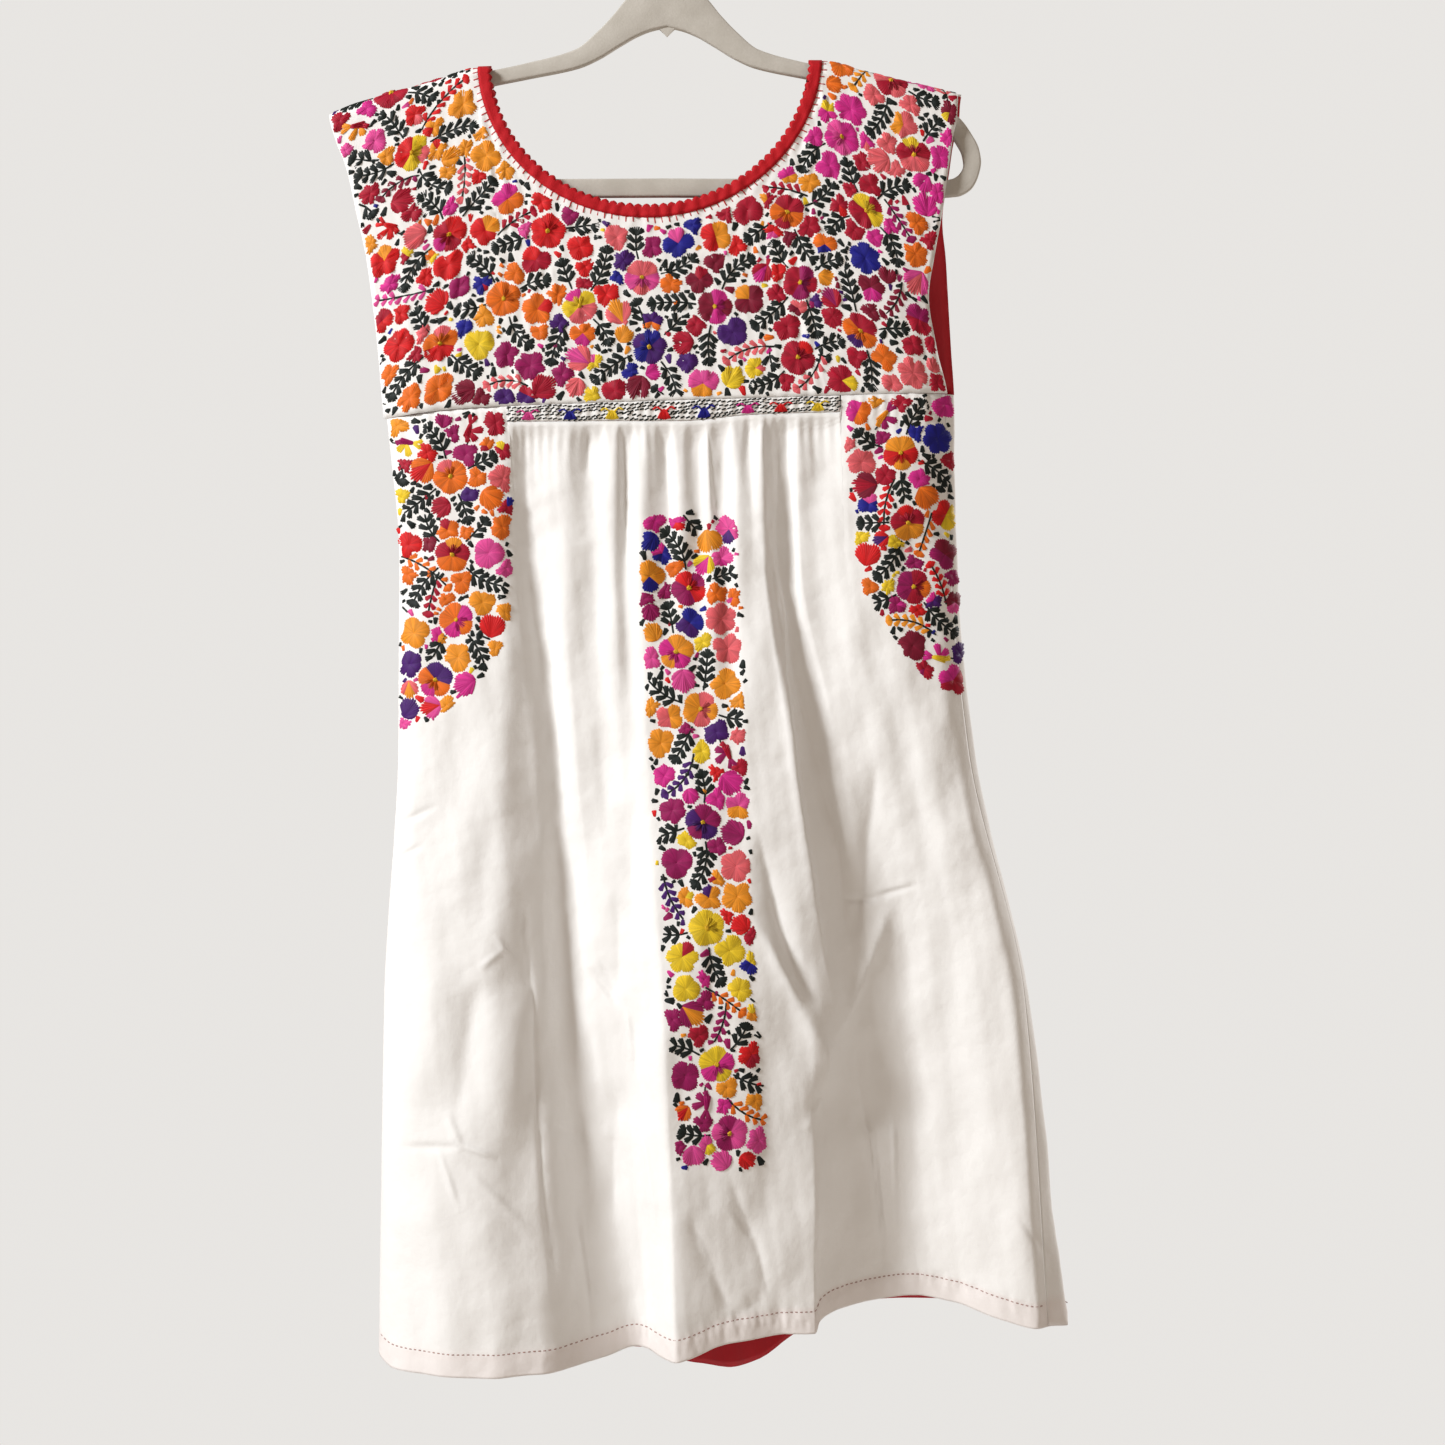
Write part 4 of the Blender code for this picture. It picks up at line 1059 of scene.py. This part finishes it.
THREAD = 1.3  # from one thread to the next
OVERLAP = 1.5  # a thread's width over that
RAYS = 24  # directions in which a blossom is fitted to its place
GROWTH = 4.0  # how far past its radius it may grow
TWO_TONE = 0.3  # share of motifs in two colours
SPARE = 0.1  # room left round a motif
STEM_STEP = 5.6  # from one pair of leaves to the next
STEM = 1.6  # width
PANSY = 12.5  # radius
SPILL = 1.12  # a small motif's radius over its room
SAME_AGAIN = 0.35  # how often a motif takes the colour of its neighbour
NEARBY = 30.0  # what lies further off isn't looked at
FAR_OFF = 1e6
COUNTED_AT = 0.76  # the share of a fan's length where its threads lie THREAD apart
KNOT_YELLOW = (0.90, 0.55, 0.02)
PETAL_COLOURS = np.array([
    # red, green, blue, how often
    (0.75, 0.024, 0.30, 13),  # hot pink
    (0.83, 0.078, 0.35, 8),  # pink
    (0.87, 0.14, 0.165, 9),  # salmon
    (0.48, 0.003, 0.030, 14),  # crimson
    (0.76, 0.007, 0.010, 11),  # red
    (0.25, 0.003, 0.030, 6),  # burgundy
    (0.37, 0.005, 0.12, 9),  # plum
    (0.91, 0.18, 0.007, 11),  # orange
    (0.95, 0.34, 0.016, 9),  # golden orange
    (0.94, 0.66, 0.021, 8),  # yellow
    (0.010, 0.010, 0.29, 6),  # blue
    (0.070, 0.007, 0.17, 7),  # violet
])


def heading(turn):
    """The direction at an angle."""
    return np.stack([np.cos(turn), np.sin(turn)], axis=-1)


def evenly(count):
    """The middles of this many even steps from 0 to 1."""
    return (np.arange(count) + 0.5) / count


class Embroidery:
    """Motifs set one by one on a region of cloth, each where it has room. What is taken is kept as discs."""

    def __init__(self, seed, room, low, high):
        self.rng = np.random.default_rng(seed)
        self.room, self.low, self.high = room, low, high
        self.stitches = Stitches()
        self.taken = np.array([[FAR_OFF, FAR_OFF, 0.0]])
        self.dyed = [(np.full(2, FAR_OFF), PETAL_COLOURS[0, :3])]

    def clear(self, places):
        """How far places lie from the region's edge and from everything that is taken, whichever is
        nearer. Beyond NEARBY it may say more than it is."""
        middle = places.mean(axis=0)
        reach = np.hypot(*(places - middle).T).max() + NEARBY + self.taken[:, 2]
        near = self.taken[np.hypot(*(self.taken[:, :2] - middle).T) < reach]
        near = np.concatenate([near, [[FAR_OFF, FAR_OFF, 0.0]]])
        nearest = [(np.hypot(*(part[:, None] - near[:, :2]).transpose(2, 0, 1)) - near[:, 2]).min(axis=1)
                   for part in np.array_split(places, len(places) // 500 + 1)]
        return np.minimum(np.concatenate(nearest), self.room(places))

    def take(self, places, radius):
        """Keeps discs of this radius, or of these radii, from being worked again."""
        places = np.atleast_2d(places)
        discs = np.column_stack([places, np.broadcast_to(radius, len(places))])
        self.taken = np.concatenate([self.taken, discs])

    def anywhere(self, count):
        return self.rng.uniform(self.low, self.high, (count, 2))

    def any_turn(self):
        return self.rng.uniform(0, 2 * np.pi)

    def spots(self, low, high, tries):
        """Random places that have room for a disc of radius low, and the radius that fits, high at most.
        The roomiest come first, and each is taken as it is given."""
        places = self.anywhere(tries)
        places = places[self.room(places) > low + SPARE]
        room = self.clear(places)
        for i in np.argsort(-room):
            if room[i] < low + SPARE:
                return
            radius = min(self.clear(places[i:i + 1])[0] - SPARE, high)
            if radius >= low:
                self.take(places[i], radius)
                yield places[i], radius

    def colour(self, at=None):
        """A colour by its weight. Near a motif that has one, it is now and then the same again."""
        picked = self.rng.choice(PETAL_COLOURS, p=PETAL_COLOURS[:, 3] / PETAL_COLOURS[:, 3].sum())[:3]
        if at is not None:
            if self.rng.random() < SAME_AGAIN:
                picked = min(self.dyed, key=lambda other: np.hypot(*(other[0] - at)))[1]
            self.dyed.append((at, picked))
        return picked

    def lay(self, foot, ahead, tip, lobe, colours, pad=1.0):
        """Threads side by side from a foot out to their tips, padded higher in the middle of a lobe."""
        start, end = foot - ahead * 0.3, foot + ahead * tip[:, None]
        self.stitches.add(start, end, THREAD * OVERLAP, pad * (0.45 + 0.75 * lobe), colours)

    def fan(self, foot, turn, spread, reach, colours, tuck=0.0, pad=1.0):
        """Threads fanned from a foot, with one lobe for each colour. At a share t of the spread, and an
        angle a from its middle, a thread is reach * (0.82 + 0.18 * sqrt(|sin(lobes * pi * t)|)) *
        cos(a)^tuck long. With a tuck of 1 the foot lies on a round shape's rim, with none at its middle."""
        lobes = len(colours)
        count = max(3, round(spread * reach * (COUNTED_AT - 0.2 * tuck) / THREAD))
        t = evenly(count)
        lobe = np.abs(np.sin(lobes * np.pi * t))
        ahead = heading(turn + (t - 0.5) * spread)
        tip = reach * (0.82 + 0.18 * np.sqrt(lobe)) + self.rng.uniform(-0.4, 0.25, count)
        tip *= np.cos(np.minimum(np.abs(t - 0.5) * spread, 1.5)) ** tuck
        # The tone is random, and also darker towards the edges of each lobe, where the threads lie lowest:
        # painted shade between the lobes.
        tone = self.rng.uniform(0.8, 1.12, (count, 1)) * (0.72 + 0.28 * np.sqrt(lobe))[:, None]
        self.lay(foot, ahead, tip, lobe, np.array(colours)[(t * lobes).astype(int)] * tone, pad)

    def petal(self, foot, turn, length, width, colour, pad=1.0):
        """Almost parallel threads, the shape of a drop: across it, s runs from -1 to 1, and a thread ends at
        length * (0.7 + 0.3 * sqrt(1 - s^2))."""
        count = max(2, round(width / THREAD))
        s = evenly(count) * 2 - 1
        ahead, side = heading(turn), heading(turn + np.pi / 2)
        tip = length * (0.7 + 0.3 * np.sqrt(1 - s**2)) + self.rng.uniform(-0.2, 0.2, count)
        start = foot + (length * 0.14 * np.abs(s))[:, None] * ahead + (s * width * 0.12)[:, None] * side
        end = foot + tip[:, None] * ahead + (s * width * 0.5)[:, None] * side
        tone = self.rng.uniform(0.8, 1.12, (count, 1))
        self.stitches.add(start, end, THREAD * 1.3, pad * (0.6 + 0.4 * (1 - s**2)), colour * tone)

    def pansy(self, at, radius, turn):
        """Five broad petals in two or three colours, with a deeper face, and a yellow knot at the centre."""
        top, side, low = self.colour(at), self.colour(), self.colour()
        low = top if self.rng.random() < 0.5 else low
        self.fan(at, turn, 2 * np.pi, radius, [top, side, low, side, top])
        self.fan(at, turn, 2.3, radius * 0.62, [side * 0.75] * 3, pad=1.9)
        self.fan(at, turn, 2 * np.pi, radius * 0.14, [KNOT_YELLOW], pad=3)

    def blossom(self, at, radius, turn):
        """Three to six lobes round a middle. Each ray runs on past the radius while there is room, by up
        to GROWTH, to fill the flower's place, and a lobe rounds off its rays by 0.7 + 0.3 * sqrt(|sin|)."""
        way = heading(turn + np.arange(RAYS) * 2 * np.pi / RAYS)
        far = radius + SPARE + np.arange(0.5, GROWTH, 0.7)
        free = self.clear((at + far[:, None, None] * way).reshape(-1, 2)).reshape(len(far), RAYS) > 0.4
        steps = np.cumprod(free, axis=0).sum(axis=0)
        ray = np.where(steps > 0, far[steps - 1], radius) + 0.3
        ray = np.minimum(ray, (np.roll(ray, 1) + np.roll(ray, -1)) / 2 + 1.2)
        lobes = int(self.rng.integers(3, 7))
        count = round(2 * np.pi * ray.mean() * COUNTED_AT / THREAD)
        t = evenly(count)
        lobe = np.abs(np.sin(lobes * np.pi * t))
        tip = np.interp(t * RAYS, np.arange(RAYS + 1), np.append(ray, ray[0]))
        tip = tip * (0.7 + 0.3 * np.sqrt(lobe)) + self.rng.uniform(-0.4, 0.3, count)
        colours = np.repeat([self.colour(at)], lobes, axis=0)
        if self.rng.random() < TWO_TONE:
            colours[:int(self.rng.integers(1, 3))] = self.colour()
        # The tone is random, and also darker towards the edges of each lobe, where the threads lie lowest:
        # painted shade between the lobes.
        tone = self.rng.uniform(0.82, 1.12, (count, 1)) * (0.74 + 0.26 * np.sqrt(lobe))[:, None]
        self.lay(at, heading(turn + t * 2 * np.pi), tip, lobe, colours[(t * lobes).astype(int)] * tone)
        wide = np.flatnonzero(ray > radius + 1.2)
        if len(wide):
            self.take(at + way[wide] * ray[wide, None] * 0.72, ray[wide] * 0.26)

    def heart(self, at, radius, turn):
        self.fan(at - heading(turn) * radius * 0.9, turn, 2.2, radius * 1.95, [self.colour(at)] * 2, tuck=0.8)

    def tulip(self, at, radius, turn):
        outer, inner = self.colour(at), self.colour()
        self.fan(at - heading(turn) * radius, turn, 2.2, radius * 2.1, [outer, inner, outer], tuck=0.9)

    def rose(self, at, radius, turn):
        self.fan(at - heading(turn) * radius * 0.8, turn, 2.8, radius * 1.9, [self.colour(at)] * 5, tuck=0.8)

    def bud(self, at, radius, turn):
        """A single petal or, more often, a single leaf."""
        colour = self.colour(at) if self.rng.random() < 0.35 else LEAF_GREEN
        self.petal(at - heading(turn) * radius * 1.15, turn, radius * 2.3, radius * 1.5, colour)

    def bird(self, at, radius, turn):
        """A bird from its side: a forked tail, two wings raised over its back, body, head and dark beak."""
        body = self.colour(at)
        wings = self.colour() if self.rng.random() < TWO_TONE else body
        ahead, up = heading(turn), heading(turn + np.pi / 2)
        # Each petal's foot ahead and up, its lean, length, width, colour and padding
        for forward, upward, lean, long, wide, colour, pad in (
            (-0.4, -0.25, np.pi - 0.35, 0.85, 0.36, wings, 1.0),
            (-0.4, -0.25, np.pi + 0.3, 0.85, 0.36, wings, 1.0),
            (0.1, -0.2, 0.95, 0.95, 0.6, wings, 1.0),
            (0.1, -0.2, 2.0, 1.15, 0.6, wings, 1.0),
            (-0.65, -0.25, 0.0, 1.4, 0.6, body, 1.6),
            (0.4, -0.3, 0.5, 0.6, 0.45, body, 1.6),
        ):
            foot = at + (ahead * forward + up * upward) * radius
            self.petal(foot, turn + lean, radius * long, radius * wide, colour, pad)
        beak = at + (ahead * 0.85 - up * 0.05) * radius
        self.stitches.add(beak, beak + ahead * radius * 0.35, THREAD, 0.6, LEAF_GREEN)

    def sprig(self, start, turn, bend, pairs, petal=None, length=9.2, width=4.5, fewest=0.6):
        """A curved stem with pairs of leaves, or of small coloured petals. Each node turns the stem by
        bend. A leaf with no room is left off, and the sprig isn't made if fewer than a share of them fit."""
        headings = turn + bend * np.arange(pairs + 1)
        steps = heading(headings) * STEM_STEP
        node = start + np.concatenate([np.zeros((1, 2)), steps[:-1].cumsum(axis=0)])
        if self.clear(node).min() < 0.8:
            return False
        order = np.repeat(np.arange(1, pairs + 1), 2)
        order, lean = np.append(order, pairs), np.append(np.tile([0.8, -0.8], pairs), 0.0)
        foot, angle = node[order], headings[order] + lean
        long = length * (1.1 - 0.35 * order / pairs) * self.rng.uniform(0.9, 1.08, len(order))
        discs = foot[:, None] + (heading(angle) * long[:, None])[:, None] * np.array([0.55, 0.82])[:, None]
        fits = self.clear(discs.reshape(-1, 2)).reshape(-1, 2).min(axis=1) > width * 0.32
        if fits.sum() < fewest * len(fits):
            return False
        for i in np.flatnonzero(fits):
            self.petal(foot[i], angle[i], long[i], width, LEAF_GREEN if petal is None else petal, pad=0.85)
            self.take(discs[i], width * 0.4)
        self.take(node, 0.5)
        self.stitches.add(node[:-1] - steps[:-1] * 0.1, node[1:] + steps[:-1] * 0.1, STEM, 1.0, LEAF_GREEN)
        return True

    def sprigs(self, tries, bend, pairs, **look):
        for at in self.anywhere(tries):
            self.sprig(at, self.any_turn(), self.rng.uniform(-bend, bend),
                       int(self.rng.integers(*pairs)), **look)

    def fill(self, apart, sprays, birds, crowd):
        """Works the whole region. The pansies stand about twice `apart` from each other, and crowd scales
        the number of places that are tried for everything else."""
        rng = self.rng
        pansies = [at for at, _ in self.spots(apart * 0.72, apart, int(400 * crowd))]
        self.taken[1:, 2] = PANSY
        for at in pansies:
            self.pansy(at, PANSY * 1.06, self.any_turn())
            first = self.any_turn()
            for i in range(4):
                turn = first + i * np.pi / 2 + rng.uniform(-0.3, 0.3)
                start = at + heading(turn) * (PANSY + 1)
                self.sprig(start, turn, rng.uniform(-0.2, 0.2), int(rng.integers(3, 6)), fewest=0.5)
        for _ in range(sprays):
            self.sprigs(12, 0.2, (5, 8), petal=self.colour(), length=7.0, width=3.6, fewest=0.7)
        for _, (at, radius) in zip(range(birds), self.spots(8.5, 9.5, 300)):
            self.bird(at, radius, self.any_turn())
        for low, high, tries in ((6.6, 8.2, 500), (5.0, 6.6, 1200), (3.4, 5.0, 3000)):
            for at, radius in self.spots(low, high, int(tries * crowd)):
                if low > 4 and rng.random() < 0.3:
                    motif = rng.choice([self.rose, self.tulip, self.heart])
                    motif(at, radius * SPILL, self.any_turn())
                else:
                    self.blossom(at, radius, self.any_turn())
            self.sprigs(int(200 * crowd), 0.3, (2, 4), fewest=0.75)
        self.sprigs(int(700 * crowd), 0.0, (1, 2), length=6.4, width=3.4, fewest=0.99)
        for low, high, tries in ((2.0, 3.2, 3000), (1.3, 2.0, 5000)):
            for at, radius in self.spots(low, high, int(tries * crowd)):
                self.bud(at, radius * SPILL, self.any_turn())
        # Threads that run over the region's edge are cut short, and left out if they start outside it
        table = np.concatenate(self.stitches.rows)
        start, whole = table[:, 0:2], table[:, 2:4].copy()
        for share in (0.85, 0.7, 0.55, 0.4):
            over = self.room(table[:, 2:4]) < 0.1
            table[over, 2:4] = (start + (whole - start) * share)[over]
        self.stitches.rows = [table[np.minimum(self.room(start), self.room(table[:, 2:4])) > 0]]


def yoke_room(places):
    """How far places lie inside the yoke's stitched field: from the armholes, the lower seam and the neck."""
    x, run = places[:, 0], places[:, 1]
    z = yoke_height(x, np.abs(run))
    left, right = armhole_sides(z, run >= 0)
    deep = np.where(run >= 0, NECK_FRONT, NECK_BACK)
    ratio = np.hypot((x - NECK_MIDDLE) / NECK_HALF_WIDTH, run / deep)
    from_neck = np.hypot(x - NECK_MIDDLE, run) * (1 - 1 / np.maximum(ratio, 1e-3))
    return np.minimum.reduce([x - left + 1.4, right - x, z - seam_height(x) - 0.8, from_neck - 4.6])


def outline_room(outline):
    """A function that gives how far places lie inside a closed outline, with a minus outside it. The
    outline is made ragged: 1.6 * sin(x / 2.9 + 2 * sin(y / 6.1)) is added to the distance."""
    start = np.array(outline, float)
    ahead = np.roll(start, -1, axis=0) - start

    def room(places):
        rel = places[:, None] - start
        share = np.clip((rel * ahead).sum(axis=-1) / (ahead**2).sum(axis=-1), 0, 1)
        far = np.linalg.norm(rel - share[..., None] * ahead, axis=-1).min(axis=1)
        crosses = (rel[..., 1] < 0) != (rel[..., 1] - ahead[:, 1] < 0)
        slope = np.where(ahead[:, 1] == 0, 1.0, ahead[:, 1])
        left_of = rel[..., 0] < ahead[:, 0] * rel[..., 1] / slope
        ragged = 1.6 * np.sin(places[:, 0] / 2.9 + 2 * np.sin(places[:, 1] / 6.1))
        return np.where((crosses & left_of).sum(axis=1) % 2 == 1, far, -far) + ragged

    return room


thread = Finish("embroidery thread", Roughness=0.6, Sheen_Weight=0.04, Specular_IOR_Level=0.3)
own = thread.shade.node("Attribute", {"attribute_name": "thread_colour"})
place = thread.shade.node("UVMap", {"uv_map": "cloth"})
twisted = place.node("Mapping", sockets={"Vector": place, "Rotation": (0.0, 0.0, 0.9)})
ply = thread.shade.lines(twisted, 0.8, "X")
wear = thread.shade.noise(place, 2.5, detail=2)
# The ply lines of the twist darken the colour as well as raise the relief: painted shade of the plies. The
# wear noise darkens it at random.
thread.set(Base_Color=(0.16 * wear + 0.12 * ply).mix(own, (0.0, 0.0, 0.0)))
thread.set(Normal=thread.shade.bump(ply, 0.12, 0.5))

yoke_work = Embroidery(4, yoke_room, (-240, -262), (210, 268))
yoke_work.fill(apart=29, sprays=30, birds=8, crowd=5.0)
for side, sign in (("front", 1), ("back", -1)):
    yoke_work.stitches.sew("yoke_" + side + "_flowers", yoke_place, thread.material,
                                                "embroidered_cotton", keep=lambda at: at[:, 1] * sign >= 0)

# Flowers on the skirt
# The same work on a panel down each side of the skirt, from the yoke to a curved lower edge, and on a column
# down the middle of the front. The side panels run round the silhouette to the back.

FIELD_STEP = 1.5
LEFT_PANEL = [
    (-196, -388), (-156, -384), (-113, -382), (-113, -397), (-108, -425), (-109, -488), (-108, -509),
    (-112, -544), (-119, -558), (-130, -572), (-139, -586), (-151, -594), (-166, -601), (-187.5, -607),
    (-188, -560), (-188, -500), (-192, -440),
]
RIGHT_PANEL = [
    (124, -374), (203, -370), (204, -430), (205.5, -487), (209.5, -540), (213, -584), (206, -586),
    (185, -574), (167, -556), (150, -532), (139, -511), (133, -488), (132, -460), (127, -432), (125, -397),
]
# Behind, the panels keep clear of the side seams, where the cloth turns sharply
BEHIND = 10.0
LEFT_BEHIND = [(x + BEHIND * (x < -180), z) for x, z in LEFT_PANEL]
RIGHT_BEHIND = [(x - BEHIND * (x > 200), z) for x, z in RIGHT_PANEL]
CENTRE_COLUMN = [
    (-18, -462), (-20, -480), (-19, -520), (-15, -560), (-12, -628), (-6, -700), (0, -793), (5, -850),
    (9, -908), (72, -908), (68, -850), (63, -793), (60, -700), (58, -628), (55, -560), (52, -490),
    (50, -458), (38, -450), (27, -462), (14, -449), (4, -460), (-8, -452),
]
FLOWERS_ON = {
    # piece: seed, behind, outlines
    "side_panel_flowers": (57, False, (LEFT_PANEL, RIGHT_PANEL)),
    "back_panel_flowers": (17, True, (LEFT_BEHIND, RIGHT_BEHIND)),
    "centre_flowers": (19, False, (CENTRE_COLUMN,)),
}


def skirt_place(points, forward):
    """A function that gives points and outward directions on one side of the skirt, for places (x, z).
    Forward is -1 in front and 1 behind. It reads the side as depths over even steps of x and z: first down
    each column of its grid, then across."""
    even_x = np.arange(-200, 284, FIELD_STEP)
    even_z = np.arange(-366, -1064, -FIELD_STEP)
    down = np.array([[np.interp(-even_z, -column[:, 2], column[:, axis]) for axis in (0, 1)]
                     for column in points.transpose(1, 0, 2)])
    field = np.array([np.interp(even_x, x, y) for x, y in down.transpose(2, 1, 0)])
    slope_z, slope_x = np.gradient(field, -FIELD_STEP, FIELD_STEP)
    outward = unit(np.stack([slope_x, np.full(field.shape, -1.0), slope_z], axis=-1)) * -forward
    table = np.concatenate([field[..., None], outward], axis=-1)

    def place(flat):
        across = np.clip((flat[..., 0] - even_x[0]) / FIELD_STEP, 0, len(even_x) - 1.001)
        below = np.clip((even_z[0] - flat[..., 1]) / FIELD_STEP, 0, len(even_z) - 1.001)
        i, j = across.astype(int), below.astype(int)
        u, v = (across - i)[..., None], (below - j)[..., None]
        upper, lower = (table[row, i] * (1 - u) + table[row, i + 1] * u for row in (j, j + 1))
        read = upper * (1 - v) + lower * v
        return np.stack([flat[..., 0], read[..., 0], flat[..., 1]], axis=-1), read[..., 1:]

    return place


left_edge, right_edge = ring_column["left_edge"], ring_column["right_edge"]
front_place = skirt_place(skirt[:, left_edge:right_edge + 1], -1)
around = np.concatenate([skirt[:, right_edge:], skirt[:, :left_edge + 1]], axis=1)
back_place = skirt_place(around[:, ::-1], 1)

for name, (seed, behind, outlines) in FLOWERS_ON.items():
    worked = Stitches()
    for i, outline in enumerate(outlines):
        corners = np.array(outline)
        panel = Embroidery(seed + i, outline_room(outline), corners.min(axis=0), corners.max(axis=0))
        panel.fill(apart=25, sprays=6, birds=2, crowd=1.0)
        worked.rows += panel.stitches.rows
    place_on = back_place if behind else front_place
    worked.sew(name, place_on, thread.material, "embroidered_cotton")

# Stitching of the smocked band
# Cotton thread again, worked by hand through the pleats: short black stitches along wavy lines, and small
# coloured motifs over the lowest line, each a fan of eight stitches with an arm on both sides.

BAND_TALL = 12.5
DASH = 3.1
DASH_PITCH = 3.6
BAND_ROWS = [
    # height from the band's top, swing, length of a wave, shift
    (1.4, 0.6, 36, 0.0),
    (3.7, 0.9, 36, 0.4),
    (6.0, 1.1, 36, 0.9),
    (8.7, 1.2, 48, 2.9),
    (11.1, 0.7, 48, 3.6),
]
MOTIFS = [
    # x, colour
    (-97.3, (0.83, 0.078, 0.35)),
    (-67.8, (0.010, 0.010, 0.29)),
    (-38.3, (0.94, 0.66, 0.021)),
    (-1.7, (0.76, 0.007, 0.010)),
    (26.4, (0.010, 0.010, 0.29)),
    (57.3, (0.75, 0.024, 0.30)),
    (80.5, (0.76, 0.007, 0.010)),
    (106.5, (0.94, 0.66, 0.021)),
]
smocking = Stitches()
rng = np.random.default_rng(33)
middle = np.arange(BAND_LEFT, BAND_RIGHT + 1, DASH_PITCH)
for row, (height, swing, wave, shift) in enumerate(BAND_ROWS):
    at = middle + row % 2 * DASH_PITCH / 2 + rng.uniform(-0.3, 0.3, len(middle))
    low = height + swing * np.sin(at * 2 * np.pi / wave + shift)
    slant = 0.6 + rng.uniform(-0.35, 0.35, len(at))
    start, end = (np.column_stack([at - way * DASH / 2, low + way * slant]) for way in (1, -1))
    smocking.add(start, end, 1.25, 0.9, LEAF_GREEN)
for x, colour in MOTIFS:
    for lean in np.linspace(-1, 1, 8):
        top = np.array([x + lean * 1.6, 4.9 + 1.8 * lean**2])
        smocking.add(top, (x + lean * 4.4, 12.3 - 0.9 * abs(lean)), 1.7, 1.8, colour)
    for lean in (-1, 1):
        arm = np.array([(x + lean * 1.4, 6.4), (x + lean * 5.0, 3.7), (x + lean * 8.2, 5.4)])
        smocking.add(arm[:-1], arm[1:], 1.5, 1.6, colour)
band_stitches = smocking.sew("smocking_stitches", lambda flat: band_place(flat / (1.0, BAND_TALL)),
                             thread.material, "embroidered_cotton")

# Hem stitching
# A running stitch of cotton thread holds the turned-up hem, front and back. It sinks into the cloth, so it
# shows only as a row of small marks in the groove that it pulls, painted a dark pinkish brown as the groove's
# shade.

HEM_STITCH = 1.9
HEM_PITCH = 3.4
HEM_STITCH_SHADE = (0.46, 0.30, 0.27)
stretches = {"front": (front_place, slice(left_edge, split)), "back": (back_place, slice(split + 4, None))}
for side, (place_on, columns) in stretches.items():
    line = skirt[-1, columns][:, [0, 2]] + (0, HEM_HEIGHT)
    length = length_along(line)
    starts = np.arange(3, length[-1] - 5, HEM_PITCH)
    start, end = (np.column_stack([np.interp(at, length, part) for part in line.T])
                  for at in (starts, starts + HEM_STITCH))
    running = Stitches()
    running.add(start, end, 0.95, 0.4, HEM_STITCH_SHADE)
    name = "hem_stitches_" + side
    running.sew(name, place_on, thread.material, "white_cotton")

# Floor, light and camera
# A pale floor under the hanging dress, a pale surrounding that lights it warmly, a lamp from the upper left,
# a weak one from the right and one for the back. The camera stands 1.5 m in front and looks straight ahead.

FLOOR_BELOW = 2.2
FLOOR_RADIUS = 3.0
FLOOR_SIDES = 96
LOOKED_AT = (0.03, 0.0, -0.6)
CAMERA_AT = (0.0394, -1.5, -0.6017)
CAMERA_LENS = 52.6
angle = np.linspace(0, 2 * np.pi, FLOOR_SIDES, endpoint=False)
rim = np.column_stack([heading(angle) * FLOOR_RADIUS, np.full(FLOOR_SIDES, -FLOOR_BELOW)])
mesh = bpy.data.meshes.new("floor")
mesh.from_pydata(rim.tolist(), [], [list(range(FLOOR_SIDES))])
floor = bpy.data.objects.new("floor", mesh)
floor_finish = Finish("pale floor", Base_Color=(0.80, 0.77, 0.73), Roughness=0.8)
mesh.materials.append(floor_finish.material)
bpy.context.scene.collection.objects.link(floor)

world = bpy.data.worlds.new("studio")
world.use_nodes = True
bpy.context.scene.world = world
nodes = Shade(world.node_tree)
seen = nodes.node("Background", {}, {"Color": (0.84, 0.82, 0.795, 1.0), "Strength": 0.96})
lit = nodes.node("Background", {}, {"Color": (1.0, 0.80, 0.62, 1.0), "Strength": 0.265})
direct = nodes.node("LightPath")
both = nodes.node("MixShader", {}, {0: direct, 1: lit, 2: seen})
world.node_tree.links.new(both.socket, world.node_tree.nodes["World Output"].inputs["Surface"])


def lamp(name, at, size, power, colour):
    """A square lamp that faces the middle of the dress."""
    light = bpy.data.lights.new(name, "AREA")
    light.size, light.energy, light.color = size, power, colour
    made = bpy.data.objects.new(name, light)
    made.location = at
    made.rotation_mode = "QUATERNION"
    made.rotation_quaternion = Vector(np.subtract(LOOKED_AT, at)).to_track_quat("-Z", "Y")
    bpy.context.scene.collection.objects.link(made)


lamp("key", (-2.35, -1.5, 0.9), 0.7, 110, (0.965, 0.985, 1.0))
lamp("fill", (1.2, -2.6, -0.2), 1.6, 7, (1.0, 0.92, 0.84))
lamp("behind", (2.3, 1.7, 0.7), 0.9, 75, (1.0, 1.0, 1.0))

camera = bpy.data.objects.new("camera", bpy.data.cameras.new("camera"))
camera.data.lens = CAMERA_LENS
camera.data.sensor_width = 36
camera.location = CAMERA_AT
camera.rotation_euler = (np.pi / 2, 0, 0)
bpy.context.scene.collection.objects.link(camera)
bpy.context.scene.camera = camera
bpy.context.scene.view_settings.view_transform = "Standard"
